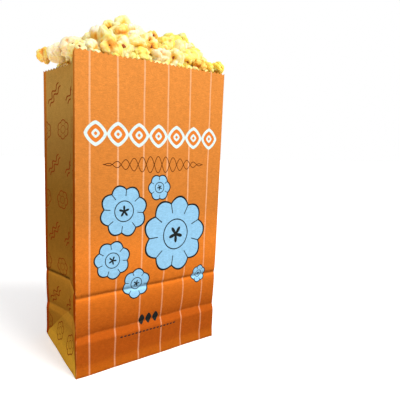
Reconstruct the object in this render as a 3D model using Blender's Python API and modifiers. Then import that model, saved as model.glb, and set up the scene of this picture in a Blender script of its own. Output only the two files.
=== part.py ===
"""Open paper bag heaped with popcorn: a square-bottomed gusseted bag and the popcorn that fills it.

Units are metres and +Z is up. The bag stands on the plane z = 0 with its base centred on the origin and
its printed front panel facing -Y. Its side gussets are tucked in, and its mouth is cut with pinking teeth.
The popcorn is one solid: a core that fills the bag and domes over the mouth, with popped kernels fused on.
"""

import math
import random

import bmesh
import bpy
from mathutils import Matrix, Vector

# Driving sizes of the bag.
BAG_WIDTH = 0.156
BAG_DEPTH = 0.088
BAG_HEIGHT = 0.272
PAPER = 0.0005
TUCK_AT_BASE_FOLD = 0.0105
TUCK_AT_UPPER_CREASE = 0.0095
TUCK_AT_MOUTH = 0.0130
UPPER_CREASE_HEIGHT = 0.071
LOWER_CREASE_HEIGHT = 0.035
UPPER_CREASE_DEPTH = 0.0022
LOWER_CREASE_DEPTH = 0.0016
CREASE_REACH = 0.010
PANEL_BULGE = 0.0030
MOUTH_BULGE = 0.0005
TOOTH_PITCH = 0.0045
TOOTH_DEPTH = 0.0014

# Driving sizes of the popcorn heap.
CORE_GAP = 0.0012
CORE_SINK = 0.0040
EDGE_SINK = 0.0085
HEAP_EDGE = 0.001
HEAP_CROWN = 0.020
LARGE_KERNEL = 0.0125
SMALL_KERNEL = 0.0070
KERNEL_COUNT = 150
KERNEL_TRIES = 260
KERNEL_SPACING = 0.62
KERNEL_SINK = 0.20
KERNEL_HEART = 0.42
RIM_KERNEL = 0.0068
RIM_ROW_COUNT = 13
RIM_CLEARANCE = 0.0005
HEAP_SEED = 41

# Mounds and hollows of the heap: centre across and along the mouth, height and spread.
MOUNDS = (
    (-0.026, -0.004, 0.0160, 0.0200),
    (0.046, 0.000, 0.0150, 0.0170),
    (-0.056, -0.018, -0.0070, 0.0090),
)

# Kernels that give the heap its outline: place across, place along, height over the rim, size.
CROWN_KERNELS = (
    (-0.0835, 0.0210, 0.0085, 0.0085),
    (-0.0745, 0.0230, 0.0120, 0.0085),
    (-0.0735, 0.0110, 0.0080, 0.0110),
    (-0.0665, -0.0010, 0.0165, 0.0105),
    (-0.0580, 0.0080, 0.0120, 0.0120),
    (-0.0440, -0.0120, 0.0235, 0.0110),
    (-0.0310, -0.0080, 0.0340, 0.0098),
    (-0.0180, -0.0050, 0.0375, 0.0128),
    (-0.0050, -0.0080, 0.0300, 0.0105),
    (-0.0280, -0.0220, 0.0215, 0.0112),
    (0.0172, -0.0040, 0.0345, 0.0068),
    (0.0060, -0.0130, 0.0240, 0.0118),
    (0.0370, -0.0080, 0.0330, 0.0128),
    (0.0530, -0.0030, 0.0365, 0.0105),
    (0.0605, -0.0100, 0.0260, 0.0100),
    (-0.0300, -0.0300, 0.0075, 0.0112),
    (0.0060, -0.0310, 0.0075, 0.0108),
    (0.0240, -0.0300, 0.0080, 0.0112),
    (0.0510, -0.0230, 0.0140, 0.0112),
    (0.0650, -0.0325, 0.0050, 0.0082),
    (0.0735, -0.0360, 0.0062, 0.0078),
)

FRONT_SEGMENTS = 6
GUSSET_SEGMENTS = 2
ROW_HEIGHTS = (0.0, 0.018, 0.035, 0.044, 0.056, 0.071, 0.084, 0.120, 0.175, 0.225, 0.273)

# Finishes: colour, roughness and metallic value.
PRINTED_PAPER = ((0.80, 0.33, 0.08, 1.0), 0.62, 0.0)
POPPED_CORN = ((0.93, 0.83, 0.52, 1.0), 0.70, 0.0)


def blend(low, high, share):
    """Value a given share of the way from low to high."""
    return low + (high - low) * share


def clear_scene():
    """Removes every object of the startup scene."""
    for old in list(bpy.data.objects):
        bpy.data.objects.remove(old)


def finish(name, look):
    """Principled material from a colour, a roughness and a metallic value."""
    colour, roughness, metallic = look
    made = bpy.data.materials.new(name)
    made.use_nodes = True
    shader = made.node_tree.nodes["Principled BSDF"]
    shader.inputs["Base Color"].default_value = colour
    shader.inputs["Roughness"].default_value = roughness
    shader.inputs["Metallic"].default_value = metallic
    return made


def new_collection(name):
    """Collection linked to the scene."""
    made = bpy.data.collections.new(name)
    bpy.context.scene.collection.children.link(made)
    return made


def object_from(name, shape, collection):
    """Object that takes a bmesh, which is then freed."""
    mesh = bpy.data.meshes.new(name)
    shape.to_mesh(mesh)
    shape.free()
    made = bpy.data.objects.new(name, mesh)
    collection.objects.link(made)
    return made


def keep_as_mesh(made):
    """Applies an object's modifiers by taking its evaluated mesh."""
    bpy.context.view_layer.update()
    graph = bpy.context.evaluated_depsgraph_get()
    solid = bpy.data.meshes.new_from_object(made.evaluated_get(graph))
    made.modifiers.clear()
    made.data = solid


def island_of(start, seen):
    """Vertices joined to one vertex by edges, each of them added to the ones seen."""
    found = [start]
    seen.add(start)
    for corner in found:
        for edge in corner.link_edges:
            other = edge.other_vert(corner)
            if other not in seen:
                seen.add(other)
                found.append(other)
    return found


def drop_pockets(made):
    """Keeps only the largest island of a mesh: the others are pockets sealed between fused pieces."""
    shape = bmesh.new()
    shape.from_mesh(made.data)
    seen = set()
    islands = [island_of(corner, seen) for corner in shape.verts if corner not in seen]
    islands.sort(key=len)
    for island in islands[:-1]:
        bmesh.ops.delete(shape, geom=island, context="VERTS")
    shape.to_mesh(made.data)
    shape.free()


def tuck(height):
    """How far the middle crease of a gusset is pushed in at a height."""
    fold = BAG_DEPTH / 2
    if height <= fold:
        return TUCK_AT_BASE_FOLD
    if height <= UPPER_CREASE_HEIGHT:
        share = (height - fold) / (UPPER_CREASE_HEIGHT - fold)
        return blend(TUCK_AT_BASE_FOLD, TUCK_AT_UPPER_CREASE, share)
    share = min(1.0, (height - UPPER_CREASE_HEIGHT) / (BAG_HEIGHT - UPPER_CREASE_HEIGHT))
    return blend(TUCK_AT_UPPER_CREASE, TUCK_AT_MOUTH, share)


def corner_y(height):
    """Half the bag's depth at a height: a tucked gusset draws the front and back panels together."""
    half = BAG_DEPTH / 2
    depth_here = tuck(height) * min(height, half) / half
    return math.sqrt(half * half - depth_here * depth_here)


def crease_dent(height):
    """How far the front and back panels dip in at the two cross creases."""
    upper = max(0.0, 1 - abs(height - UPPER_CREASE_HEIGHT) / CREASE_REACH)
    lower = max(0.0, 1 - abs(height - LOWER_CREASE_HEIGHT) / CREASE_REACH)
    return UPPER_CREASE_DEPTH * upper + LOWER_CREASE_DEPTH * lower


def panel_bulge(height):
    """How far the middle of a panel swells out at a height."""
    share = height / BAG_HEIGHT
    return PANEL_BULGE * math.sin(math.pi * min(1.0, share)) + MOUTH_BULGE * share


def panel_points(height):
    """Front panel from left to right at a height, without its last corner."""
    points = []
    for i in range(FRONT_SEGMENTS):
        share = i / FRONT_SEGMENTS
        swell = math.sin(math.pi * share)
        out = panel_bulge(height) * swell - crease_dent(height) * min(1.0, 3 * swell)
        points.append((blend(-BAG_WIDTH / 2, BAG_WIDTH / 2, share), -corner_y(height) - out))
    return points


def gusset_points(height):
    """Front half of the right gusset at a height, from the front corner to just before its middle crease.

    Below the fold of the base the middle of the gusset is a flat triangle, and the second point runs up
    the side of that triangle.
    """
    half = BAG_DEPTH / 2
    depth_here = tuck(height) * min(height, half) / half
    run = min(height, half) if height < half else half / 2
    points = []
    for i in range(GUSSET_SEGMENTS):
        along = run * i / (GUSSET_SEGMENTS - 1)
        inward = tuck(height) * min(along, height, half) / half
        points.append((BAG_WIDTH / 2 - inward, -corner_y(height) * (1 - along / half)))
    return points + [(BAG_WIDTH / 2 - depth_here, 0.0)]


def bag_ring(height):
    """Outline of the bag's outer surface at a height, counter-clockwise seen from above."""
    front = panel_points(height)
    front_half = gusset_points(height)
    back_half = [(x, -y) for x, y in reversed(front_half[:-1])]
    right = front_half + back_half[:-1]
    half_turn = front + right
    return half_turn + [(-x, -y) for x, y in half_turn]


def bag_shell():
    """Open outer surface of the bag: a loft through its rings, with the base closed."""
    shape = bmesh.new()
    rows = [[shape.verts.new((x, y, z)) for x, y in bag_ring(z)] for z in ROW_HEIGHTS]
    count = len(rows[0])
    for low, high in zip(rows, rows[1:]):
        for i in range(count):
            j = (i + 1) % count
            shape.faces.new((low[i], low[j], high[j], high[i]))
    shape.faces.new(list(reversed(rows[0])))
    bmesh.ops.remove_doubles(shape, verts=shape.verts, dist=1e-6)
    bmesh.ops.recalc_face_normals(shape, faces=shape.faces)
    return shape


def zigzag(length):
    """Pinked line of a length, centred on zero, as (along, height) points from start to end."""
    teeth = round(length / TOOTH_PITCH)
    steps = 2 * teeth
    return [
        (length * (i / steps - 0.5), BAG_HEIGHT - TOOTH_DEPTH * (i % 2)) for i in range(steps + 1)
    ]


def pinking_cutter(name, length, near, far, across, collection):
    """Prism over a pinked line, from near to far: along Y for a panel and along X for a gusset."""
    line = zigzag(length)
    over = BAG_HEIGHT + 0.01
    outline = line + [(line[-1][0], over), (line[0][0], over)]
    shape = bmesh.new()
    if across == "X":
        corners = [shape.verts.new((u, near, z)) for u, z in outline]
        reach = Vector((0, far - near, 0))
    else:
        corners = [shape.verts.new((near, u, z)) for u, z in outline]
        reach = Vector((far - near, 0, 0))
    face = shape.faces.new(corners)
    pushed = bmesh.ops.extrude_face_region(shape, geom=[face])
    moved = [item for item in pushed["geom"] if isinstance(item, bmesh.types.BMVert)]
    bmesh.ops.translate(shape, verts=moved, vec=reach)
    bmesh.ops.recalc_face_normals(shape, faces=shape.faces)
    made = object_from(name, shape, collection)
    made.hide_render = True
    made.display_type = "WIRE"
    return made


def make_bag(collection, cutters):
    """The paper bag: a thin shell whose mouth is pinked."""
    bag = object_from("bag", bag_shell(), collection)
    bag.data.materials.append(finish("printed_paper", PRINTED_PAPER))
    wall = bag.modifiers.new("paper", "SOLIDIFY")
    wall.thickness = PAPER
    wall.offset = -1
    wall.use_even_offset = True
    panel_y = corner_y(BAG_HEIGHT) - 0.0012
    beyond = BAG_DEPTH / 2 + 0.006
    side_x = BAG_WIDTH / 2 - TUCK_AT_MOUTH - 0.004
    past_side = BAG_WIDTH / 2 + 0.003
    panel_run = BAG_WIDTH + 2 * TOOTH_PITCH
    gusset_run = 2 * (panel_y + 0.0004)
    for name, near, far in (("front", -beyond, -panel_y), ("back", panel_y, beyond)):
        pinking_cutter(f"pinking_{name}", panel_run, near, far, "X", cutters)
    for name, near, far in (("left", -past_side, -side_x), ("right", side_x, past_side)):
        pinking_cutter(f"pinking_{name}", gusset_run, near, far, "Y", cutters)
    for cutter in cutters.objects:
        cut = bag.modifiers.new(cutter.name, "BOOLEAN")
        cut.operation = "DIFFERENCE"
        cut.solver = "EXACT"
        cut.object = cutter
    return bag


def heap_height(x, y):
    """Height of the heap over the rim, before the kernels: a crown with mounds on it, falling to the walls."""
    half_x, half_y = BAG_WIDTH / 2, BAG_DEPTH / 2
    fall = max(0.0, 1 - (x / half_x) ** 4) * max(0.0, 1 - (y / half_y) ** 2)
    mounds = sum(
        height * math.exp(-((x - cx) ** 2 + (y - cy) ** 2) / (2 * spread * spread))
        for cx, cy, height, spread in MOUNDS
    )
    return HEAP_EDGE + (HEAP_CROWN * fall) + mounds * min(1.0, 1.6 * fall)


def kernel_lobes(draw):
    """Lobes of one popped kernel: balls round its middle, as (centre, radius) on a unit kernel."""
    count = draw.randint(5, 8)
    turn = draw.uniform(0, math.tau)
    golden = math.pi * (3 - math.sqrt(5))
    lobes = [(Vector((0, 0, 0)), KERNEL_HEART)]
    for i in range(count):
        level = 1 - 2 * (i + 0.5) / count
        around = turn + golden * i + draw.uniform(-0.35, 0.35)
        flat = math.sqrt(1 - level * level)
        way = Vector((flat * math.cos(around), flat * math.sin(around), level))
        reach = draw.uniform(0.42, 0.58)
        lobes.append((way * reach, draw.uniform(0.88, 1.0) - reach))
    return lobes


def kernel_turn(draw):
    """Random turn of a kernel, with its flattening."""
    spin = Matrix.Rotation(draw.uniform(0, math.tau), 3, "Z")
    tip = Matrix.Rotation(draw.uniform(0, math.pi), 3, "X")
    roll = Matrix.Rotation(draw.uniform(0, math.tau), 3, "Y")
    flat = Matrix.Diagonal((1.0, draw.uniform(0.84, 0.96), draw.uniform(0.70, 0.88)))
    return spin @ tip @ roll @ flat


class Kernel:
    """One popped kernel: a cluster of balls, flattened, turned and set at a place in the heap."""

    def __init__(self, index, size):
        draw = random.Random(HEAP_SEED * 1000 + index)
        self.size = size
        self.lobes = kernel_lobes(draw)
        self.turn = kernel_turn(draw)
        self.place = Vector((0, 0, 0))

    def reach(self, way):
        """How far the kernel reaches from its place along a direction."""
        pulled = self.turn.transposed() @ way
        return self.size * max(pulled.dot(c) + pulled.length * r for c, r in self.lobes)

    def against_panel(self, side):
        """Place along the mouth at which the kernel just clears the front or back panel."""
        room = corner_y(BAG_HEIGHT) - PAPER - 1.1 * RIM_CLEARANCE
        return side * (room - self.reach(Vector((0, side, 0))))

    def over_rim(self):
        """True if the whole kernel lies above the mouth."""
        return self.place.z - self.reach(Vector((0, 0, -1))) > BAG_HEIGHT + RIM_CLEARANCE

    def inside_panels(self):
        """True if the kernel lies between the front and back panels."""
        room = corner_y(BAG_HEIGHT) - PAPER - RIM_CLEARANCE
        return all(
            room - side * self.place.y > self.reach(Vector((0, side, 0))) for side in (-1, 1)
        )

    def inside_gusset(self, side):
        """True if the kernel lies on the inner side of either half of one gusset."""
        lean = math.atan2(TUCK_AT_MOUTH, corner_y(BAG_HEIGHT))
        crease = Vector((side * (BAG_WIDTH / 2 - PAPER - TUCK_AT_MOUTH), 0, self.place.z))
        for half in (-1, 1):
            out = Vector((side * math.cos(lean), half * math.sin(lean), 0))
            if out.dot(crease - self.place) > self.reach(out) + RIM_CLEARANCE:
                return True
        return False

    def clears_paper(self):
        """True if the kernel touches no paper: wholly over the mouth, or wholly inside the walls."""
        inside = self.inside_panels() and self.inside_gusset(-1) and self.inside_gusset(1)
        return self.over_rim() or inside

    def clears(self, others):
        """True if the kernel keeps its distance from the kernels already placed."""
        return all(
            (self.place - other.place).length > KERNEL_SPACING * (self.size + other.size)
            for other in others
        )

    def radius(self, way):
        """Radius of the unit kernel along a direction: out of the farthest ball that the ray leaves."""
        reach = 0.0
        for centre, radius in self.lobes:
            along = way.dot(centre)
            inside = along * along - centre.length_squared + radius * radius
            if inside > 0:
                reach = max(reach, along + math.sqrt(inside))
        return reach

    def shape(self):
        """Closed surface of the kernel: a small icosphere whose corners are moved out to the balls."""
        shape = bmesh.new()
        bmesh.ops.create_icosphere(shape, subdivisions=2, radius=1.0)
        for corner in shape.verts:
            way = corner.co.normalized()
            corner.co = self.place + self.size * (self.turn @ (way * self.radius(way)))
        bmesh.ops.recalc_face_normals(shape, faces=shape.faces)
        return shape


def crown():
    """Kernels that give the heap its outline; one that would touch the paper is raised over the mouth."""
    placed = []
    for x, y, over, size in CROWN_KERNELS:
        kernel = Kernel(len(placed), size)
        kernel.place = Vector((x, y, BAG_HEIGHT + over))
        if not kernel.clears_paper():
            kernel.place.z = BAG_HEIGHT + 1.2 * RIM_CLEARANCE + kernel.reach(Vector((0, 0, -1)))
        placed.append(kernel)
    return placed


def fill_heap():
    """All the kernels: the crown's, and then others dropped from large to small where there is room.

    Every other kernel is pushed against the front or back panel, so that the mouth is filled to its rim.
    """
    draw = random.Random(HEAP_SEED)
    placed = crown()
    for i in range(KERNEL_COUNT):
        size = blend(LARGE_KERNEL, SMALL_KERNEL, (i / KERNEL_COUNT) ** 1.3)
        kernel = Kernel(len(placed), size)
        for _ in range(KERNEL_TRIES):
            x = draw.uniform(-0.5, 0.5) * BAG_WIDTH
            y = draw.uniform(-0.5, 0.5) * BAG_DEPTH
            if i % 2:
                y = kernel.against_panel(math.copysign(1, y))
            lift = heap_height(x, y) - KERNEL_SINK * size
            kernel.place = Vector((x, y, BAG_HEIGHT + lift))
            if kernel.clears(placed) and kernel.clears_paper():
                placed.append(kernel)
                break
    return placed + rim_row(len(placed), -1) + rim_row(len(placed) + RIM_ROW_COUNT, 1)


def rim_row(first, side):
    """Small kernels along the rim of one panel, wedged between the larger ones."""
    draw = random.Random(HEAP_SEED + side)
    row = []
    for i in range(RIM_ROW_COUNT):
        kernel = Kernel(first + i, draw.uniform(0.85, 1.1) * RIM_KERNEL)
        share = (i + draw.uniform(0.3, 0.7)) / RIM_ROW_COUNT
        x = (share - 0.5) * (BAG_WIDTH - 2.6 * RIM_KERNEL)
        lift = draw.uniform(-0.2, 0.3) * RIM_KERNEL
        kernel.place = Vector((x, kernel.against_panel(side), BAG_HEIGHT + lift))
        if kernel.clears_paper():
            row.append(kernel)
    return row


def inset_ring(height, gap):
    """The bag's ring at a height moved inwards by a gap."""
    ring = [Vector(point) for point in bag_ring(height)]
    count = len(ring)
    moved = []
    for i, point in enumerate(ring):
        before = (point - ring[i - 1]).normalized()
        after = (ring[(i + 1) % count] - point).normalized()
        inward = Vector((-(before.y + after.y), before.x + after.x)).normalized()
        slant = max(0.35, inward.dot(Vector((-after.y, after.x))))
        moved.append(point + inward * (gap / slant))
    return moved


def core_shape():
    """Popcorn below the showing kernels: a column that fills the bag and domes over its mouth."""
    gap = PAPER + CORE_GAP
    shape = bmesh.new()
    rows = []
    heights = [max(gap, z) for z in ROW_HEIGHTS[:-1]] + [BAG_HEIGHT - EDGE_SINK]
    for z in heights:
        rows.append([shape.verts.new((p.x, p.y, z)) for p in inset_ring(max(z, 0.004), gap)])
    rim = inset_ring(BAG_HEIGHT - EDGE_SINK, gap)
    for share in (0.86, 0.66, 0.44, 0.22):
        ring = []
        for point in rim:
            x, y = point.x * share, point.y * share
            ring.append(shape.verts.new((x, y, BAG_HEIGHT + heap_height(x, y) - CORE_SINK)))
        rows.append(ring)
    count = len(rim)
    for low, high in zip(rows, rows[1:]):
        for i in range(count):
            j = (i + 1) % count
            shape.faces.new((low[i], low[j], high[j], high[i]))
    peak = shape.verts.new((0, 0, BAG_HEIGHT + heap_height(0, 0) - CORE_SINK))
    for i in range(count):
        shape.faces.new((rows[-1][i], rows[-1][(i + 1) % count], peak))
    shape.faces.new(list(reversed(rows[0])))
    bmesh.ops.remove_doubles(shape, verts=shape.verts, dist=1e-6)
    bmesh.ops.recalc_face_normals(shape, faces=shape.faces)
    return shape


def make_popcorn(collection, kernels):
    """The popcorn: the core with every kernel fused on as one solid."""
    popcorn = object_from("popcorn", core_shape(), collection)
    popcorn.data.materials.append(finish("popped_corn", POPPED_CORN))
    for kernel in fill_heap():
        object_from("kernel", kernel.shape(), kernels)
    fuse = popcorn.modifiers.new("fuse", "BOOLEAN")
    fuse.operation = "UNION"
    fuse.operand_type = "COLLECTION"
    fuse.solver = "EXACT"
    fuse.collection = kernels
    keep_as_mesh(popcorn)
    drop_pockets(popcorn)
    for kernel in list(kernels.objects):
        bpy.data.objects.remove(kernel)
    bpy.data.collections.remove(kernels)
    return popcorn


def main():
    """Builds the bag and the popcorn in it."""
    clear_scene()
    parts = new_collection("bag_of_popcorn")
    cutters = new_collection("cutters")
    kernels = new_collection("kernels")
    make_bag(parts, cutters)
    make_popcorn(parts, kernels)


main()
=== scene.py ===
"""Paper bag heaped with buttered popcorn, standing on a plain pale studio floor.

The bag is one printed sheet, folded round a flat base, tucked at the sides and pinked at the mouth. The
popcorn over its mouth is built kernel by kernel, each a cluster of swollen lobes, over a layer of kernels
that fills the gaps and an amber core. Lengths are metres, +Z is up, and the front panel faces -Y.
"""

from __future__ import annotations

import logging
import math
import random
from dataclasses import dataclass, field
from enum import Enum
from functools import reduce

import bpy
import numpy as np
from bpy.types import Material, Node, NodeOutputs, NodeSocket, NodeTree, Object
from mathutils import Matrix, Vector


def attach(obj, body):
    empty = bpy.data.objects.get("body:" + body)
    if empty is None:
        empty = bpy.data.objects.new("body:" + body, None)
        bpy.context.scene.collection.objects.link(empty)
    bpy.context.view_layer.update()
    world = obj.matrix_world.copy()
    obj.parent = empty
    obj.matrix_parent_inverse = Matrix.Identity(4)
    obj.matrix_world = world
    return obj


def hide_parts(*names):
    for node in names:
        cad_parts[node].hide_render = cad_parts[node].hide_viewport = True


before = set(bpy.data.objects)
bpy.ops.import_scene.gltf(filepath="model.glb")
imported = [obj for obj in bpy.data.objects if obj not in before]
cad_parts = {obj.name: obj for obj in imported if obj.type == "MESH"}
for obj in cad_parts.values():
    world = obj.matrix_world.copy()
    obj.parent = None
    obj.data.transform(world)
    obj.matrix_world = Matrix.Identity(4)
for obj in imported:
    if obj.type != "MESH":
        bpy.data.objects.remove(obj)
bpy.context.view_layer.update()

LOG = logging.getLogger("popcorn_bag")
BODY = "root"


class Part(Enum):
    """CAD nodes that the pieces stand for."""

    BAG = "bag"
    POPCORN = "popcorn"


class Slot(Enum):
    """Material slots of the record."""

    PAPER = "printed_paper"
    CORN = "popped_corn"


class KernelKind(Enum):
    """How much butter a popped kernel has taken up."""

    WHITE = "white"
    CREAM = "cream"
    BUTTERED = "buttered"
    TOASTED = "toasted"


def linear(red: int, green: int, blue: int) -> tuple[float, float, float, float]:
    """Linear colour of a screen colour.

    Args:
        red: Red from 0 to 255.
        green: Green from 0 to 255.
        blue: Blue from 0 to 255.

    Returns:
        The colour as linear red, green, blue and an alpha of one.
    """

    def channel(value: int) -> float:
        """Linear value of one channel."""
        share = value / 255
        return share / 12.92 if share <= 0.04045 else ((share + 0.055) / 1.055) ** 2.4

    return (channel(red), channel(green), channel(blue), 1.0)


def smooth_step(values: np.ndarray, low: float, high: float) -> np.ndarray:
    """Share from 0 to 1 of the way from low to high, eased at both ends: 3t^2 - 2t^3."""
    share = np.clip((values - low) / (high - low), 0.0, 1.0)
    return share * share * (3.0 - 2.0 * share)


@dataclass(frozen=True)
class Ripple:
    """Smooth uneven field: plane waves with drawn directions, phases and wavelengths, added up."""

    size: float
    waves: int
    short: float
    long: float

    def at(self, places: np.ndarray, seed: int) -> np.ndarray:
        """Field at some points, before it is multiplied by its size.

        Args:
            places: Points, with their coordinates on the last axis.
            seed: Seed of the draws.

        Returns:
            The sum of the waves' sines over the root of their number, mostly between -1 and 1.
        """
        draws = np.random.default_rng(seed)
        ways = draws.normal(size=(self.waves, places.shape[-1]))
        ways /= np.linalg.norm(ways, axis=1, keepdims=True)
        lengths = self.short * (self.long / self.short) ** draws.random(self.waves)
        phases = draws.random(self.waves) * math.tau
        angles = places @ (ways / lengths[:, None]).T * math.tau + phases
        return np.sin(angles).sum(axis=-1) / math.sqrt(self.waves)


def soft_maximum(values: np.ndarray, sharp: float) -> np.ndarray:
    """Smooth greatest value of each row: log(sum(exp(sharp * value))) / sharp."""
    return np.log(np.exp(sharp * values).sum(axis=1)) / sharp


def grid_quads(rows: int, columns: int, closed: bool) -> np.ndarray:
    """Corner indices of the quads of a grid of points.

    Args:
        rows: Points up the grid.
        columns: Points across the grid.
        closed: True if the last column joins the first.

    Returns:
        One row of four indices for each quad, counter-clockwise with columns to the right and rows up.
    """
    spans = columns if closed else columns - 1
    row, column = np.meshgrid(np.arange(rows - 1), np.arange(spans), indexing="ij")
    after = (column + 1) % columns
    corners = (row * columns + column, row * columns + after)
    above = ((row + 1) * columns + after, (row + 1) * columns + column)
    return np.stack(corners + above, axis=-1).reshape(-1, 4)


def cap_triangles(ring: int, turns: int, pole: int) -> np.ndarray:
    """Corner indices of the triangles between a closed ring of points and a pole.

    Args:
        ring: Index of the ring's first point.
        turns: Number of the ring's points.
        pole: Index of the pole.

    Returns:
        One row of three indices for each triangle, in the ring's own direction.
    """
    around = np.arange(turns)
    return np.stack([ring + around, ring + (around + 1) % turns, np.full(turns, pole)], axis=-1)


def disc_grid(shares: np.ndarray, turns: int) -> tuple[np.ndarray, np.ndarray]:
    """Shares and turns of the points of a round grid.

    Args:
        shares: Share of the radius of each ring.
        turns: Number of points in a ring.

    Returns:
        The share and the turn, in radians, of each point, with a row for each ring.
    """
    share, turn = np.meshgrid(shares, np.arange(turns) / turns * math.tau, indexing="ij")
    return share, turn


def mesh_piece(name: str, points: np.ndarray, *faces: np.ndarray) -> Object:
    """Object at the origin made of points and faces, shaded smooth.

    Args:
        name: Name of the piece.
        points: One row of three coordinates for each point.
        faces: Corner indices of the faces, in one or more arrays.

    Returns:
        The new object, linked to the scene.
    """
    mesh = bpy.data.meshes.new(name)
    mesh.from_pydata(points.tolist(), [], [face for group in faces for face in group.tolist()])
    mesh.polygons.foreach_set("use_smooth", np.ones(len(mesh.polygons), dtype=bool))
    mesh.update()
    piece = bpy.data.objects.new(name, mesh)
    bpy.context.scene.collection.objects.link(piece)
    return piece


def write_attribute(piece: Object, name: str, values: np.ndarray) -> None:
    """Writes a number at each point of a piece, as an attribute that its material reads."""
    layer = piece.data.attributes.new(name, "FLOAT", "POINT")
    layer.data.foreach_set("value", values.astype(np.float32).reshape(-1))


def dress(piece: Object, slot: Slot, *materials: Material) -> None:
    """Gives a piece its materials and its body, and reports it.

    Args:
        piece: The piece.
        slot: Not used.
        materials: Materials in the order of the piece's slots.
    """
    for material in materials:
        piece.data.materials.append(material)
    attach(piece, BODY)
    triangles = sum(len(face.vertices) - 2 for face in piece.data.polygons)
    LOG.info("%s: %d triangles before modifiers", piece.name, triangles)


Wire = NodeSocket | float | tuple


@dataclass(frozen=True)
class Band:
    """Range of a value over which an effect comes in, and the effect's strength."""

    low: float
    high: float
    strength: float


class Wiring:
    """Short calls that add shader nodes to a tree and join them."""

    def __init__(self, tree: NodeTree) -> None:
        """Takes the tree that nodes are added to."""
        self.tree = tree

    def node(self, kind: str, **settings: object) -> Node:
        """Adds a node.

        Args:
            kind: Type of the node.
            settings: Properties to set on it.

        Returns:
            The new node.
        """
        made = self.tree.nodes.new(kind)
        for name, value in settings.items():
            setattr(made, name, value)
        return made

    def feed(self, socket: NodeSocket, value: Wire) -> None:
        """Links a socket to another, or sets its value.

        Args:
            socket: The input socket.
            value: The output socket that it is linked to, or its value.
        """
        if isinstance(value, NodeSocket):
            self.tree.links.new(value, socket)
        else:
            socket.default_value = value

    def fill(self, node: Node, **values: Wire) -> None:
        """Links or sets inputs of a node; an underscore in a name stands for a space."""
        for name, value in values.items():
            self.feed(node.inputs[name.replace("_", " ")], value)

    def made(
        self, kind: str, gives: str | int, takes: dict[str | int, Wire], **settings: object
    ) -> NodeSocket:
        """Adds a node and joins it up.

        Args:
            kind: Type of the node.
            gives: Name or number of the output that is wanted.
            takes: Value or link of each input, by its name or number.
            settings: Properties to set on the node.

        Returns:
            The output.
        """
        node = self.node(kind, **settings)
        for name, value in takes.items():
            self.feed(node.inputs[name], value)
        return node.outputs[gives]

    def math(self, operation: str, first: Wire, second: Wire = 0.0) -> NodeSocket:
        """Result of a Math node."""
        return self.made("ShaderNodeMath", 0, {0: first, 1: second}, operation=operation)

    def plus(self, first: Wire, second: Wire) -> NodeSocket:
        """Sum of two values."""
        return self.math("ADD", first, second)

    def minus(self, first: Wire, second: Wire) -> NodeSocket:
        """First value less the second."""
        return self.math("SUBTRACT", first, second)

    def times(self, first: Wire, second: Wire) -> NodeSocket:
        """Product of two values."""
        return self.math("MULTIPLY", first, second)

    def over(self, first: Wire, second: Wire) -> NodeSocket:
        """First value divided by the second."""
        return self.math("DIVIDE", first, second)

    def larger(self, first: Wire, second: Wire) -> NodeSocket:
        """Larger of two values."""
        return self.math("MAXIMUM", first, second)

    def ease(self, value: Wire, low: Wire, high: Wire) -> NodeSocket:
        """Smooth share from 0 to 1 of the way of a value from low to high."""
        takes = {"Value": value, "From Min": low, "From Max": high}
        return self.made("ShaderNodeMapRange", "Result", takes, interpolation_type="SMOOTHSTEP")

    def band(self, value: Wire, band: Band) -> NodeSocket:
        """Smooth share of the way of a value through a band, times the band's strength."""
        return self.times(self.ease(value, band.low, band.high), band.strength)

    def below(self, value: Wire, limit: Wire, soft: float) -> NodeSocket:
        """Mask that is one where a value is under a limit, with a soft edge."""
        return self.minus(1.0, self.ease(self.minus(value, limit), -soft, soft))

    def near(self, value: Wire, place: Wire, half: Wire, soft: float) -> NodeSocket:
        """Mask of a line: one where a value is within half the line's width of a place."""
        return self.below(self.math("ABSOLUTE", self.minus(value, place)), half, soft)

    def blend(self, share: Wire, first: Wire, second: Wire) -> NodeSocket:
        """Colour a share of the way from the first to the second."""
        takes = {"Factor": share, "A": first, "B": second}
        return self.made("ShaderNodeMix", "Result", takes, data_type="RGBA")

    def ramp(self, value: Wire, stops: tuple, full: float) -> NodeSocket:
        """Colour along a row of stops.

        Args:
            value: The value.
            stops: Value and colour of each stop, from the lowest up.
            full: Greatest value of the row.

        Returns:
            The colour.
        """
        made = self.node("ShaderNodeValToRGB")
        self.feed(made.inputs["Fac"], self.over(value, full))
        points = made.color_ramp.elements
        for number, (place, colour) in enumerate(stops):
            point = points[number] if number < 2 else points.new(place / full)
            point.position = place / full
            point.color = colour
        return made.outputs["Color"]

    def noise(self, place: Wire, scale: float, detail: float) -> NodeSocket:
        """Value of a Noise texture at a place, with its scale for each metre."""
        takes = {"Vector": place, "Scale": scale, "Detail": detail}
        return self.made("ShaderNodeTexNoise", "Fac", takes)

    def bump(self, height: Wire, strength: float, distance: float) -> NodeSocket:
        """Normal of a Bump node, whose height is in shares of its distance."""
        takes = {"Height": height, "Strength": strength, "Distance": distance}
        return self.made("ShaderNodeBump", "Normal", takes)

    def flat_place(self, across: Wire, up: Wire) -> NodeSocket:
        """Place on a flat sheet that has two coordinates."""
        return self.made("ShaderNodeCombineXYZ", "Vector", {"X": across, "Y": up})

    def solid_place(self) -> NodeSocket:
        """Place in the piece's own coordinates."""
        return self.node("ShaderNodeTexCoord").outputs["Object"]

    def attribute(self, name: str) -> NodeSocket:
        """Value of an attribute of one number."""
        return self.node("ShaderNodeAttribute", attribute_name=name).outputs["Fac"]

    def use(self, group: NodeTree, **values: Wire) -> NodeOutputs:
        """Adds a group node.

        Args:
            group: The group.
            values: Value or link of each input; an underscore in a name stands for a space.

        Returns:
            The group's outputs.
        """
        made = self.node("ShaderNodeGroup", node_tree=group)
        self.fill(made, **values)
        return made.outputs


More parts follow.
